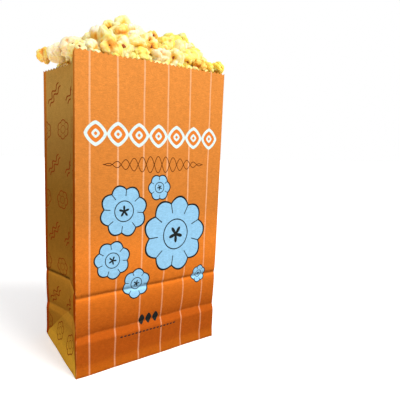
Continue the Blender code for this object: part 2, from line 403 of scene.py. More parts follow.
FLOAT = "NodeSocketFloat"
VECTOR = "NodeSocketVector"
INK_SOFT = 0.0001


def new_group(
    name: str, takes: dict[str, str], gives: dict[str, str]
) -> tuple[NodeTree, Wiring, NodeOutputs, Node]:
    """Empty shader group with named sockets.

    Args:
        name: Name of the group.
        takes: Socket type of each input.
        gives: Socket type of each output.

    Returns:
        The group, calls that add to it, the sockets that bring its inputs, and its output node.
    """
    tree = bpy.data.node_groups.new(name, "ShaderNodeTree")
    for label, kind in takes.items():
        tree.interface.new_socket(name=label, in_out="INPUT", socket_type=kind)
    for label, kind in gives.items():
        tree.interface.new_socket(name=label, in_out="OUTPUT", socket_type=kind)
    wiring = Wiring(tree)
    return tree, wiring, wiring.node("NodeGroupInput").outputs, wiring.node("NodeGroupOutput")


def stripe_group() -> NodeTree:
    """Pinstripes: the distance to the nearest multiple of the pitch, cut at half the stripe's width.

    Returns:
        The group, which gives the stripes' mask.
    """
    soft = 0.0003
    takes = {"Across": FLOAT, "First": FLOAT, "Pitch": FLOAT, "Width": FLOAT}
    tree, wires, given, result = new_group("pinstripes", takes, {"Mask": FLOAT})
    turns = wires.over(wires.minus(given["Across"], given["First"]), given["Pitch"])
    centred = wires.minus(wires.math("FRACT", wires.plus(turns, 0.5)), 0.5)
    away = wires.times(wires.math("ABSOLUTE", centred), given["Pitch"])
    wires.fill(result, Mask=wires.below(away, wires.times(given["Width"], 0.5), soft))
    return tree


def lozenge_group() -> NodeTree:
    """Row of lozenges: in each cell, the sum of |x / half width|^1.4 and |y / half height|^1.4.

    That sum is 1 on the lozenge's outline. Body is one inside it, Rim near it and Eye round its middle.

    Returns:
        The group.
    """
    power, rim_edge, eye_edge, pupil_edge, soft, rim_soft = 1.4, 0.62, 0.24, 0.07, 0.02, 0.03
    takes = {
        "Across": FLOAT, "Up": FLOAT, "First": FLOAT, "Pitch": FLOAT,
        "Count": FLOAT, "Half Width": FLOAT, "Half Height": FLOAT,
    }
    gives = {"Body": FLOAT, "Rim": FLOAT, "Eye": FLOAT}
    tree, wires, given, result = new_group("lozenge_row", takes, gives)
    turns = wires.plus(wires.over(wires.minus(given["Across"], given["First"]), given["Pitch"]), 0.5)
    started = wires.math("GREATER_THAN", turns, 0.0)
    row = wires.times(started, wires.math("LESS_THAN", turns, given["Count"]))
    centred = wires.minus(wires.math("FRACT", turns), 0.5)
    along = wires.times(wires.math("ABSOLUTE", centred), given["Pitch"])
    wide = wires.over(along, given["Half Width"])
    tall = wires.over(wires.math("ABSOLUTE", given["Up"]), given["Half Height"])
    edge = wires.plus(wires.math("POWER", wide, power), wires.math("POWER", tall, power))
    body = wires.times(row, wires.below(edge, 1.0, soft))
    core = wires.below(edge, rim_edge, rim_soft)
    eye = wires.minus(wires.below(edge, eye_edge, soft), wires.below(edge, pupil_edge, soft))
    rim = wires.minus(body, wires.times(body, core))
    wires.fill(result, Body=body, Rim=rim, Eye=wires.times(body, eye))
    return tree


def rosette_group() -> NodeTree:
    """Scalloped rosette, in polar form round its centre.

    The edge's radius is the rosette's own, times 0.84 + 0.16 |sin(petals * angle / 2)|. Fill is one inside
    that edge, Outline near it, and Veins along the petals' borders and round a ring. Star is five-pointed.

    Returns:
        The group.
    """
    swell_share, vein_width, vein_soft, ring_width = 0.16, 0.13, 0.00003, 0.6
    vein_start, vein_end, ring_share = 0.58, 0.84, 0.40
    star_points, star_swing, star_reach, star_soft = 5.0, 0.08, 0.15, 0.01
    takes = {
        "Place": VECTOR, "Centre": VECTOR, "Radius": FLOAT,
        "Petals": FLOAT, "Turn": FLOAT, "Line": FLOAT,
    }
    gives = {"Fill": FLOAT, "Outline": FLOAT, "Veins": FLOAT, "Star": FLOAT}
    tree, wires, given, result = new_group("rosette", takes, gives)
    ends = {0: given["Place"], 1: given["Centre"]}
    split = wires.node("ShaderNodeSeparateXYZ")
    away = wires.made("ShaderNodeVectorMath", "Vector", ends, operation="SUBTRACT")
    wires.feed(split.inputs[0], away)
    across, up = split.outputs["X"], split.outputs["Y"]
    radius = wires.math("SQRT", wires.plus(wires.times(across, across), wires.times(up, up)))
    angle = wires.plus(wires.math("ARCTAN2", up, across), given["Turn"])
    half_turns = wires.times(angle, wires.times(given["Petals"], 0.5))
    swell = wires.math("ABSOLUTE", wires.math("SINE", half_turns))
    scallop = wires.plus(wires.times(swell, swell_share), 1.0 - swell_share)
    past_edge = wires.minus(radius, wires.times(scallop, given["Radius"]))
    half_line = wires.times(given["Line"], 0.5)
    outline = wires.near(past_edge, 0.0, half_line, INK_SOFT)
    wires.fill(result, Fill=wires.below(past_edge, 0.0, 2.0 * INK_SOFT), Outline=outline)
    spoke = wires.over(wires.times(radius, swell), given["Petals"])
    spokes = wires.below(spoke, wires.times(given["Line"], vein_width), vein_soft)
    share = wires.over(radius, given["Radius"])
    started = wires.math("GREATER_THAN", share, vein_start)
    veins = wires.times(spokes, wires.times(started, wires.math("LESS_THAN", share, vein_end)))
    ring_away = wires.times(wires.math("ABSOLUTE", wires.minus(share, ring_share)), given["Radius"])
    ring = wires.below(ring_away, wires.times(half_line, ring_width), INK_SOFT)
    points = wires.math("COSINE", wires.times(angle, star_points))
    reach = wires.plus(wires.times(points, star_swing), star_reach)
    wires.fill(result, Veins=wires.larger(veins, ring), Star=wires.below(share, reach, star_soft))
    return tree


def flourish_group() -> NodeTree:
    """Thin wave that swells in the middle of its run and dies at its ends.

    Height is reach * sin(pi * share) * sin(2 pi * share * waves), and the line is where a point is within
    half its width of that, corrected for the wave's slope.

    Returns:
        The group, which gives the line's mask.
    """
    takes = {
        "Across": FLOAT, "Up": FLOAT, "From": FLOAT, "Run": FLOAT,
        "Reach": FLOAT, "Waves": FLOAT, "Width": FLOAT,
    }
    tree, wires, given, result = new_group("flourish", takes, {"Mask": FLOAT})
    share = wires.over(wires.minus(given["Across"], given["From"]), given["Run"])
    started = wires.math("GREATER_THAN", share, 0.0)
    run = wires.times(started, wires.math("LESS_THAN", share, 1.0))
    swell = wires.math("SINE", wires.times(share, math.pi))
    reach = wires.times(swell, given["Reach"])
    angle = wires.times(wires.times(share, math.tau), given["Waves"])
    height = wires.times(wires.math("SINE", angle), reach)
    turn_rate = wires.over(wires.times(given["Waves"], math.tau), given["Run"])
    slope = wires.times(wires.times(wires.math("COSINE", angle), reach), turn_rate)
    steep = wires.math("SQRT", wires.plus(wires.times(slope, slope), 1.0))
    away = wires.over(wires.math("ABSOLUTE", wires.minus(given["Up"], height)), steep)
    line = wires.below(away, wires.times(given["Width"], 0.5), INK_SOFT)
    wires.fill(result, Mask=wires.times(line, run))
    return tree


def paper_group() -> NodeTree:
    """Sack paper: cloudy mottle, fine grain, and fibres drawn out across the sheet.

    Returns:
        The group.
    """
    cloud_scale, fibre_scale, grain_scale = 260.0, 900.0, 1500.0
    fibre_stretch = (0.35, 1.0, 2.2)
    gives = {"Mottle": FLOAT, "Grain": FLOAT, "Height": FLOAT}
    tree, wires, given, result = new_group("sack_paper", {"Place": VECTOR}, gives)
    takes = {"Vector": given["Place"], "Scale": fibre_stretch}
    stretched = wires.made("ShaderNodeMapping", "Vector", takes)
    fibres = wires.noise(stretched, fibre_scale, 3.0)
    grain = wires.noise(given["Place"], grain_scale, 2.0)
    clouds = wires.noise(given["Place"], cloud_scale, 4.0)
    mixed = wires.plus(wires.times(fibres, 0.5), wires.times(grain, 0.5))
    wires.fill(result, Mottle=clouds, Grain=mixed, Height=wires.plus(fibres, wires.times(clouds, 0.6)))
    return tree


def curd_group() -> NodeTree:
    """Popped flesh: cloudy blotches, patches of soaked butter, and fine bubbled relief.

    Returns:
        The group.
    """
    blotch_scale, soak_scale, bubble_scale = 260.0, 105.0, 900.0
    crumple_scale, grain_scale = 330.0, 1800.0
    crumple_share, grain_share, bubble_share = 1.5, 0.10, 0.12
    gives = {"Blotch": FLOAT, "Soak": FLOAT, "Height": FLOAT}
    tree, wires, given, result = new_group("popped_flesh", {"Place": VECTOR}, gives)
    place = given["Place"]
    blotch, soak = wires.noise(place, blotch_scale, 3.0), wires.noise(place, soak_scale, 2.0)
    takes = {"Vector": place, "Scale": bubble_scale}
    bubbles = wires.made("ShaderNodeTexVoronoi", "Distance", takes, feature="SMOOTH_F1")
    crumple = wires.math("ABSOLUTE", wires.minus(wires.noise(place, crumple_scale, 3.0), 0.5))
    fine = wires.times(wires.noise(place, grain_scale, 3.0), grain_share)
    height = wires.minus(fine, wires.times(bubbles, bubble_share))
    height = wires.plus(height, wires.times(crumple, crumple_share))
    wires.fill(result, Blotch=blotch, Soak=soak, Height=height)
    return tree


def new_material(name: str) -> tuple[Material, Wiring, Node]:
    """Material with a Principled shader.

    Args:
        name: Name of the material.

    Returns:
        The material, calls that add nodes to it, and its Principled shader.
    """
    material = bpy.data.materials.new(name)
    material.use_nodes = True
    shader = material.node_tree.nodes["Principled BSDF"]
    return material, Wiring(material.node_tree), shader


@dataclass(frozen=True)
class Rosette:
    """One printed rosette: its centre and radius on the panel, its petals and its turn."""

    across: float
    up: float
    radius: float
    petals: int
    turn: float


@dataclass(frozen=True)
class LozengeRow:
    """Printed row of lozenges: its height, first centre, pitch and number, and a lozenge's half sizes."""

    up: float
    first: float
    pitch: float
    count: int
    half_width: float
    half_height: float


@dataclass(frozen=True)
class Wave:
    """Printed wave: where its run starts, the run's length, its reach, its turns and its line's width."""

    start: float
    run: float
    reach: float
    turns: float
    width: float


@dataclass(frozen=True)
class PaperPrint:
    """Inks, painted shade and layout of the bag's print, measured on the flat sheet from a panel's lower
    left corner.
    """

    # Ground ink up the panel, darker low down and at the creases: partly ink and wear, partly painted
    # shade.
    ground_and_painted_shade: tuple = (
        (0.000, linear(170, 88, 19)), (0.014, linear(164, 77, 19)), (0.034, linear(166, 78, 19)),
        (0.071, linear(202, 106, 31)), (0.108, linear(220, 124, 44)), (0.142, linear(200, 119, 48)),
        (0.272, linear(224, 140, 64)),
    )
    stripe: tuple = linear(255, 206, 168)
    blue: tuple = linear(143, 192, 223)
    pale: tuple = linear(214, 234, 232)
    dark: tuple = linear(34, 38, 37)
    script: tuple = linear(92, 44, 18)
    amber: tuple = linear(222, 124, 46)
    # Kraft up the gusset, darker from the middle down: partly the paper's tone, partly painted shade.
    kraft: tuple = (
        (0.000, linear(174, 115, 34)), (0.070, linear(176, 118, 38)), (0.105, linear(152, 101, 33)),
        (0.155, linear(149, 102, 36)), (0.200, linear(166, 120, 54)), (0.250, linear(200, 152, 75)),
    )
    # Painted light on the gusset's flat-folded foot, fading to painted shade at its top.
    kraft_foot_painted_light: tuple = linear(228, 168, 52)
    kraft_foot_top_painted_shade: tuple = linear(188, 130, 42)
    foot_shade_rise: tuple[float, float] = (0.006, 0.030)
    # Ink wrapped round onto the gussets, darker from the middle down: ink with painted shade.
    wrapped_ink_and_painted_shade: tuple = (
        (0.000, linear(170, 66, 8)), (0.145, linear(150, 62, 8)), (0.200, linear(166, 84, 20)),
        (0.255, linear(210, 122, 44)),
    )
    rust: tuple = linear(142, 50, 10)
    rust_share: float = 0.92
    rubbed: tuple = linear(240, 190, 130)
    bare_dark: tuple = linear(172, 126, 64)
    bare_light: tuple = linear(214, 172, 106)
    first_stripe: float = 0.0125
    stripe_pitch: float = 0.0252
    stripe_width: float = 0.00155
    stripe_share: float = 0.26
    stripe_gain: Band = Band(0.03, 0.19, 0.16)
    border: float = 0.0046
    far_border: float = 0.0150
    far_border_slope: float = 0.32
    title: LozengeRow = LozengeRow(0.2085, 0.0175, 0.0202, 7, 0.0102, 0.0102)
    spots: LozengeRow = LozengeRow(0.0390, 0.0660, 0.0078, 3, 0.0034, 0.0052)
    dashes: LozengeRow = LozengeRow(0.0275, 0.0440, 0.0040, 16, 0.0016, 0.0008)
    flourish_up: float = 0.1835
    flourish: Wave = Wave(0.0240, 0.1080, 0.0072, 6.5, 0.0007)
    rosettes: tuple[Rosette, ...] = (
        Rosette(0.1005, 0.1180, 0.0360, 9, 0.3),
        Rosette(0.0440, 0.1435, 0.0225, 8, 0.9),
        Rosette(0.0335, 0.1010, 0.0170, 7, 0.1),
        Rosette(0.0800, 0.1630, 0.0118, 6, 0.5),
        Rosette(0.0585, 0.0760, 0.0140, 6, 1.2),
        Rosette(0.1330, 0.0735, 0.0090, 6, 0.2),
    )
    finest_line: float = 0.0008
    line_share: float = 0.030
    motif_pitch: float = 0.0290
    motif_rise: float = 0.0330
    motif_radius: float = 0.0088
    motif_petals: int = 6
    motif_turn: float = 0.7
    motif_line: float = 0.0010
    motif_wave: Wave = Wave(-0.0125, 0.0250, 0.0022, 2.5, 0.0013)
    motif_lift: float = 0.0022


@dataclass(frozen=True)
class WearAndShade:
    """How printing and handling change the sheet's tone, with painted shade where the creases lean and a
    painted shadow line over the upper crease; a line has half its width and its softness.
    """

    level: float = 0.87
    beside_level: float = 0.07
    mottle: float = 0.24
    grain: float = 0.85
    # Painted shade: the tone drops where the creases' tilt leans the paper over the floor.
    lean: float = 0.70
    # Painted shadow: a dark line just over the upper crease, with its lift, half width and softness, and
    # strength, stronger on the gussets.
    crease_shadow_over: float = 0.0021
    crease_shadow_line: tuple[float, float] = (0.0015, 0.0011)
    crease_shadow: float = 0.13
    crease_shadow_beside: float = 0.13
    fold_line: tuple[float, float] = (0.0005, 0.0004)
    crease_line: tuple[float, float] = (0.0004, 0.0006)
    crease_share: float = 0.25
    rubbed: Band = Band(0.42, 0.72, 0.28)


@dataclass(frozen=True)
class SheetPlace:
    """Place on the sheet, across from the front or back panel's left edge, with calls that add nodes."""

    wires: Wiring
    across: Wire
    up: Wire


class SheetFinish:
    """Materials of the bag's paper."""

    border_soft = 0.0002
    foot_soft = 0.0004
    fibre_height = 0.00006
    print_bump = 0.35
    kraft_bump = 0.45
    least_rough = 0.50
    grain_rough = 0.16
    kraft_rough = 0.72
    kraft_cloud = (0.45, 1.05)

    def __init__(self, layout: PaperPrint, wear: WearAndShade, bag: PaperBag) -> None:
        """Takes what the materials are made from, and makes the shared groups.

        Args:
            layout: Inks and layout of the print.
            wear: What printing and handling leave, and the painted shade.
            bag: The bag whose sheet they lie on.
        """
        self.layout, self.wear, self.bag = layout, wear, bag
        self.paper = paper_group()
        self.stripes = stripe_group()
        self.lozenges = lozenge_group()
        self.rosette = rosette_group()
        self.flourish = flourish_group()

    def printed(self) -> Material:
        """Outer side of the sheet: orange panels with the print, and kraft gussets with line motifs, both
        with painted shade.

        Returns:
            The material, which reads the sheet's own UV map in metres and the creases' tilt, which sets
            painted shade.
        """
        material, wires, shader = new_material("printed_sack_paper")
        sheet = wires.node("ShaderNodeUVMap", uv_map="sheet")
        split = wires.node("ShaderNodeSeparateXYZ")
        wires.feed(split.inputs[0], sheet.outputs["UV"])
        across = wires.math("MODULO", split.outputs["X"], self.bag.half_round)
        at = SheetPlace(wires, across, split.outputs["Y"])
        paper = wires.use(self.paper, Place=wires.solid_place())
        fold = self.bag.width
        beside = wires.ease(across, fold - self.border_soft, fold + self.border_soft)
        # Ink on the gussets' borders, with painted shade.
        wrapped = wires.ramp(at.up, self.layout.wrapped_ink_and_painted_shade, self.bag.height)
        colour = wires.blend(beside, self.panel_colour(at), wrapped)
        colour = wires.blend(self.gusset_mask(at), colour, self.gusset_colour(at))
        colour = self.worn(at, colour, self.tone(at, paper, beside), paper)
        rough = wires.plus(wires.times(paper["Grain"], self.grain_rough), self.least_rough)
        relief = wires.bump(paper["Height"], self.print_bump, self.fibre_height)
        wires.fill(shader, Base_Color=colour, Roughness=rough, Specular_IOR_Level=0.0, Normal=relief)
        LOG.info("material %s: %d rosettes", material.name, len(self.layout.rosettes))
        return material

    def gusset_mask(self, at: SheetPlace) -> NodeSocket:
        """One on the kraft of a gusset, between the borders of ink that wrap round from the panels.

        Args:
            at: Place on the sheet.

        Returns:
            The mask.
        """
        layout, wires, soft = self.layout, at.wires, self.border_soft
        start = self.bag.width + layout.border
        border = wires.math("MINIMUM", wires.times(at.up, layout.far_border_slope), layout.far_border)
        after = wires.ease(at.across, start - soft, start + soft)
        before = wires.below(wires.plus(at.across, border), self.bag.half_round, soft)
        return wires.times(after, before)

    def panel_colour(self, at: SheetPlace) -> NodeSocket:
        """Print of a panel: ground with painted shade, pinstripes, rosettes, title row, flourish and small
        marks.

        Args:
            at: Place on the sheet.

        Returns:
            The colour.
        """
        layout, wires = self.layout, at.wires
        # The ground ramp carries painted shade along with the ink.
        ground_and_painted_shade = wires.ramp(at.up, layout.ground_and_painted_shade, self.bag.height)
        stripes = wires.use(
            self.stripes, Across=at.across, First=layout.first_stripe,
            Pitch=layout.stripe_pitch, Width=layout.stripe_width,
        )
        share = wires.plus(wires.band(at.up, layout.stripe_gain), layout.stripe_share)
        colour = wires.blend(wires.times(stripes["Mask"], share), ground_and_painted_shade, layout.stripe)
        place = wires.flat_place(at.across, at.up)
        for spot in layout.rosettes:
            colour = self.with_rosette(wires, colour, place, spot)
        return self.with_marks(at, self.with_flourish(at, self.with_title(at, colour)))

    def with_rosette(self, wires: Wiring, colour: Wire, place: Wire, spot: Rosette) -> NodeSocket:
        """Lays one rosette over a colour: blue petals, with dark outline, veins and star.

        Args:
            wires: Calls that add nodes.
            colour: The colour below.
            place: Place on the panel.
            spot: The rosette.

        Returns:
            The colour with the rosette on it.
        """
        layout = self.layout
        made = wires.use(
            self.rosette, Place=place, Centre=(spot.across, spot.up, 0.0), Radius=spot.radius,
            Petals=float(spot.petals), Turn=spot.turn,
            Line=layout.finest_line + layout.line_share * spot.radius,
        )
        ink = wires.larger(wires.larger(made["Outline"], made["Veins"]), made["Star"])
        return wires.blend(ink, wires.blend(made["Fill"], colour, layout.blue), layout.dark)

    def lozenge_row(self, at: SheetPlace, row: LozengeRow) -> NodeOutputs:
        """Masks of a row of lozenges: Body, Rim and Eye."""
        return at.wires.use(
            self.lozenges, Across=at.across, Up=at.wires.minus(at.up, row.up), First=row.first,
            Pitch=row.pitch, Count=float(row.count), Half_Width=row.half_width,
            Half_Height=row.half_height,
        )

    def wave_line(self, at: SheetPlace, wave: Wave, side: float) -> NodeSocket:
        """Mask of a wave's line, or of its mirror image where the side is minus one."""
        return at.wires.use(
            self.flourish, Across=at.across, Up=at.up, From=wave.start, Run=wave.run,
            Reach=side * wave.reach, Waves=wave.turns, Width=wave.width,
        )["Mask"]

    def with_title(self, at: SheetPlace, colour: Wire) -> NodeSocket:
        """Lays the row of rimmed lozenges over a colour.

        Args:
            at: Place on the sheet.
            colour: The colour below.

        Returns:
            The colour with the row on it.
        """
        row = self.lozenge_row(at, self.layout.title)
        colour = at.wires.blend(row["Body"], colour, self.layout.amber)
        return at.wires.blend(at.wires.larger(row["Rim"], row["Eye"]), colour, self.layout.pale)

    def with_flourish(self, at: SheetPlace, colour: Wire) -> NodeSocket:
        """Lays two thin waves, one the other's mirror image, over a colour.

        Args:
            at: Place on the sheet.
            colour: The colour below.

        Returns:
            The colour with the waves on it.
        """
        middle = SheetPlace(at.wires, at.across, at.wires.minus(at.up, self.layout.flourish_up))
        for side in (1.0, -1.0):
            line = self.wave_line(middle, self.layout.flourish, side)
            colour = at.wires.blend(line, colour, self.layout.script)
        return colour

    def with_marks(self, at: SheetPlace, colour: Wire) -> NodeSocket:
        """Lays three small lozenges and a row of dashes, low on the panel, over a colour."""
        rows = [self.lozenge_row(at, row)["Body"] for row in (self.layout.spots, self.layout.dashes)]
        return at.wires.blend(at.wires.larger(*rows), colour, self.layout.dark)

    def motif_lines(self, at: SheetPlace) -> NodeSocket:
        """Line motifs in staggered rows: rosette outlines in one row, short slanted waves in the next.

        Args:
            at: Place on the sheet.

        Returns:
            The mask of their ink.
        """
        layout, wires, slant = self.layout, at.wires, math.sqrt(0.5)
        level = wires.over(at.up, layout.motif_rise)
        row = wires.math("FLOOR", level)
        odd = wires.math("FLOORED_MODULO", row, 2.0)
        column = wires.plus(wires.over(at.across, layout.motif_pitch), wires.times(odd, 0.5))
        cell_x = wires.times(wires.minus(wires.math("FRACT", column), 0.5), layout.motif_pitch)
        cell_y = wires.times(wires.minus(wires.math("FRACT", level), 0.5), layout.motif_rise)
        bloom = wires.use(
            self.rosette, Place=wires.flat_place(cell_x, cell_y), Centre=(0.0, 0.0, 0.0),
            Radius=layout.motif_radius, Petals=float(layout.motif_petals),
            Turn=wires.times(row, layout.motif_turn), Line=layout.motif_line,
        )
        leaning = wires.times(wires.plus(cell_x, cell_y), slant)
        rising = wires.times(wires.minus(cell_y, cell_x), slant)
        pair = []
        for lift in (layout.motif_lift, -layout.motif_lift):
            beside = SheetPlace(wires, leaning, wires.plus(rising, lift))
            pair.append(self.wave_line(beside, layout.motif_wave, 1.0))
        flower = wires.larger(bloom["Outline"], bloom["Veins"])
        flower = wires.times(flower, wires.minus(1.0, odd))
        return wires.larger(flower, wires.times(wires.larger(*pair), odd))

    def gusset_colour(self, at: SheetPlace) -> NodeSocket:
        """Kraft with painted shade and rust line motifs, and painted light on the golden foot where the
        gusset's lowest corners fold flat.

        Args:
            at: Place on the sheet.

        Returns:
            The colour.
        """
        layout, wires = self.layout, at.wires
        # The kraft ramp carries painted shade along with the paper's tone.
        kraft = wires.ramp(at.up, layout.kraft, self.bag.height)
        local = wires.minus(at.across, self.bag.width)
        near = wires.math("MINIMUM", local, wires.minus(self.bag.depth, local))
        foot = wires.below(wires.minus(at.up, near), 0.0, self.foot_soft)
        # Painted light on the foot, darker towards its top as painted shade.
        golden = wires.blend(wires.ease(at.up, *layout.foot_shade_rise), layout.kraft_foot_painted_light, layout.kraft_foot_top_painted_shade)
        ink = wires.times(self.motif_lines(at), layout.rust_share)
        return wires.blend(ink, wires.blend(foot, kraft, golden), layout.rust)

    def tone(self, at: SheetPlace, paper: NodeOutputs, beside: Wire) -> NodeSocket:
        """Tone of the sheet: mottled ink, grain, painted shade where the creased paper leans over the
        floor, and a painted shadow line over the upper crease.

        Args:
            at: Place on the sheet.
            paper: Outputs of the paper group.
            beside: One on a gusset.

        Returns:
            What the colour is multiplied by.
        """
        wear, wires = self.wear, at.wires
        mottle = wires.times(wires.minus(paper["Mottle"], 0.5), wear.mottle)
        grain = wires.times(wires.minus(paper["Grain"], 0.5), wear.grain)
        level = wires.minus(wear.level, wires.times(beside, wear.beside_level))
        # Painted shade where the creased paper leans over the floor.
        shade = wires.minus(level, wires.times(wires.attribute("tilt"), wear.lean))
        # Painted shadow: a dark line just over the upper crease, stronger on the gussets.
        line = self.bag.upper_crease + wear.crease_shadow_over
        crease_shadow = wires.near(at.up, line, *wear.crease_shadow_line)
        share = wires.plus(wires.times(beside, wear.crease_shadow_beside), wear.crease_shadow)
        return wires.minus(wires.plus(wires.plus(mottle, grain), shade), wires.times(crease_shadow, share))

    def worn(self, at: SheetPlace, colour: Wire, tone: Wire, paper: NodeOutputs) -> NodeSocket:
        """Multiplies a colour by the sheet's tone, with its painted shade, and rubs it along the folds and
        the creases.

        Args:
            at: Place on the sheet.
            colour: The colour of the print.
            tone: The sheet's tone, with its painted shade.
            paper: Outputs of the paper group.

        Returns:
            The worn colour.
        """
        wear, bag, wires = self.wear, self.bag, at.wires
        scaled = wires.made("ShaderNodeVectorMath", "Vector", {0: colour, "Scale": tone}, operation="SCALE")
        lines = [
            wires.near(at.across, fold, *wear.fold_line)
            for fold in (0.0, bag.width, bag.half_round)
        ]
        for crease in (bag.lower_crease, bag.upper_crease):
            line = wires.near(at.up, crease, *wear.crease_line)
            lines.append(wires.times(line, wear.crease_share))
        share = wires.times(reduce(wires.larger, lines), wires.band(paper["Mottle"], wear.rubbed))
        return wires.blend(share, scaled, self.layout.rubbed)

    def plain(self) -> Material:
        """Bare kraft: the inside of the bag, its cut edges and the folded base.

        Returns:
            The material.
        """
        material, wires, shader = new_material("bare_kraft_paper")
        paper = wires.use(self.paper, Place=wires.solid_place())
        cloud = wires.plus(paper["Mottle"], wires.times(paper["Grain"], 0.5))
        share = wires.ease(cloud, *self.kraft_cloud)
        colour = wires.blend(share, self.layout.bare_dark, self.layout.bare_light)
        relief = wires.bump(paper["Height"], self.kraft_bump, self.fibre_height)
        wires.fill(shader, Base_Color=colour, Roughness=self.kraft_rough, Normal=relief)
        return material


@dataclass
class PaperBag:
    """The bag: one sheet folded into a tube, creased round a flat base and tucked at both sides.

    A point of the sheet has a distance round the tube, from the front panel's left edge, and a height.
    """

    width: float = 0.156
    depth: float = 0.088
    height: float = 0.272
    sheet: float = 0.0003
    upper_crease: float = 0.0712
    lower_crease: float = 0.0365
    tuck_heights: tuple[float, ...] = (0.0, 0.044, 0.071, 0.272)
    tucks: tuple[float, ...] = (0.0105, 0.0105, 0.0095, 0.0130)
    fold_heights: tuple[float, ...] = (
        0.0, 0.0095, 0.0300, 0.0365, 0.0390, 0.0420, 0.0460, 0.0510, 0.0570,
        0.0620, 0.0660, 0.0690, 0.0712, 0.0740, 0.0775, 0.0820, 0.0900,
    )
    fold_dents: tuple[float, ...] = (
        0.0, -0.0013, -0.0004, -0.0030, -0.0023, -0.0017, -0.0012, -0.0008, -0.0005,
        -0.0004, -0.0006, -0.0011, -0.0023, -0.0010, -0.0005, -0.0003, 0.0,
    )
    fold_softness: float = 0.0004
    fold_step: float = 0.0002
    corner_share: float = 0.28
    corner_reach: float = 0.026
    gusset_dent_share: float = 0.8
    bulge: float = 0.0030
    mouth_bulge: float = 0.0005
    crease_wander: Ripple = Ripple(0.0006, 4, 0.06, 0.20)
    soft_dents: Ripple = Ripple(0.00020, 12, 0.035, 0.110)
    small_dents: Ripple = Ripple(0.00004, 7, 0.018, 0.040)
    rim_wave: Ripple = Ripple(0.0005, 5, 0.03, 0.08)
    rim_wave_start: float = 0.235
    low_dents_gain: float = 1.4
    low_dents_top: float = 0.11
    gusset_soft_share: float = 0.55
    smooth_margin: float = 0.012
    tooth_pitch: float = 0.0045
    tooth_depth: float = 0.0014
    tooth_reach: float = 0.0060
    fold_radius: float = 0.0005
    row_step: float = 0.0026
    crease_rows: tuple[float, ...] = (-0.0030, -0.0016, -0.0007, 0.0, 0.0007, 0.0016, 0.0030)
    mouth_rows: tuple[float, ...] = (0.0040, 0.0020, 0.0012, 0.0006)
    seam_place: float = 0.0960
    seam_lap: float = 0.0150
    seam_lift: float = 0.00025
    seam_edge: float = 0.0002
    base_inset: float = 0.0009
    base_levels: tuple[float, float] = (0.0009, 0.0013)
    back_flap_levels: tuple[float, float] = (0.0005, 0.0008)
    front_flap_levels: tuple[float, float] = (0.0001, 0.0004)
    flap_share: float = 0.60
    seed: int = 5

    @property
    def half_round(self) -> float:
        """Distance round one panel and one gusset."""
        return self.width + self.depth

    @property
    def sides(self) -> tuple[float, ...]:
        """Lengths of the four sides, in their order round the tube."""
        return (self.width, self.depth, self.width, self.depth)

    @property
    def seam(self) -> float:
        """Distance round the tube at which the back seam starts."""
        return self.half_round + self.seam_place

    def corner(self, height: np.ndarray) -> np.ndarray:
        """Half the bag's depth at each height: the tucked gusset draws the panels together.

        Args:
            height: Height of each point.

        Returns:
            The root of the square of half the flat depth less the square of the tuck.
        """
        half = self.depth / 2
        deep = np.interp(height, self.tuck_heights, self.tucks) * np.minimum(height, half) / half
        return np.sqrt(half * half - deep * deep)

    def columns(self) -> np.ndarray:
        """Distances round the tube of the grid's columns: two for each tooth, and more at the folds.

        Returns:
            The distances, from the least up.
        """
        stops = []
        start = 0.0
        for side in self.sides:
            teeth = round(side / self.tooth_pitch)
            stops.append(start + side * np.arange(2 * teeth) / (2 * teeth))
            stops.append(np.array([start + self.fold_radius, start + side - self.fold_radius]))
            start += side
        for centre in (self.width + self.depth / 2, 2 * self.width + 1.5 * self.depth):
            stops.append(centre + np.array([-self.fold_radius, self.fold_radius]))
        stops.append(np.array([self.seam - self.seam_edge, self.seam + self.seam_edge]))
        return np.unique(np.round(np.concatenate(stops), 7))

    def rows(self) -> np.ndarray:
        """Heights of the grid's rows, closer together at the cross creases and under the teeth.

        Returns:
            The heights, from the least up.
        """
        least_step = 0.0004
        even = np.linspace(0.0, self.height, round(self.height / self.row_step) + 1)
        near = np.array(self.crease_rows)
        creases = [near + self.upper_crease, near + self.lower_crease, near + self.depth / 2]
        mouth = self.height - np.array(self.mouth_rows)
        stops = np.unique(np.round(np.concatenate([even, mouth] + creases), 5))
        keep = np.concatenate([[True], np.diff(stops) > least_step])
        keep[-1] = True
        return stops[keep]

    def tooth_dip(self, around: np.ndarray) -> np.ndarray:
        """How far the pinked rim dips: a triangle wave along every side.

        Args:
            around: Distance round the tube of each point.

        Returns:
            The dip there.
        """
        slack = 1e-7
        dip = np.zeros_like(around)
        start = 0.0
        for side in self.sides:
            teeth = round(side / self.tooth_pitch)
            turns = (around - start) / side * teeth
            inside = (around >= start - slack) & (around <= start + side + slack)
            wave = 1.0 - np.abs(2.0 * (turns - np.floor(turns)) - 1.0)
            dip = np.where(inside, self.tooth_depth * wave, dip)
            start += side
        return dip

    def dent(self, height: np.ndarray) -> np.ndarray:
        """Profile of the cross creases: straight runs between stated heights, smoothed over a short span.

        Args:
            height: Height of each point.

        Returns:
            How far the sheet stands out there, which is below zero in a crease.
        """
        margin, span = 0.01, 12
        levels = np.arange(-margin, self.height + margin, self.fold_step)
        runs = np.interp(levels, self.fold_heights, self.fold_dents)
        reach = np.arange(-span, span + 1) * self.fold_step
        weights = np.exp(-((reach / self.fold_softness) ** 2) / 2)
        smoothed = np.convolve(runs, weights / weights.sum(), mode="same")
        return np.interp(height, levels, smoothed)

    def waver(self, around: np.ndarray) -> np.ndarray:
        """How far the creases stray from level along the sheet."""
        return self.crease_wander.size * self.crease_wander.at(around[..., None], self.seed + 4)

    def tilt(self, around: np.ndarray, height: np.ndarray) -> np.ndarray:
        """Slope of the creases' profile up the sheet: above zero where the paper leans over the floor."""
        level, step = height + self.waver(around), 0.0005
        return (self.dent(level + step) - self.dent(level - step)) / (2.0 * step)

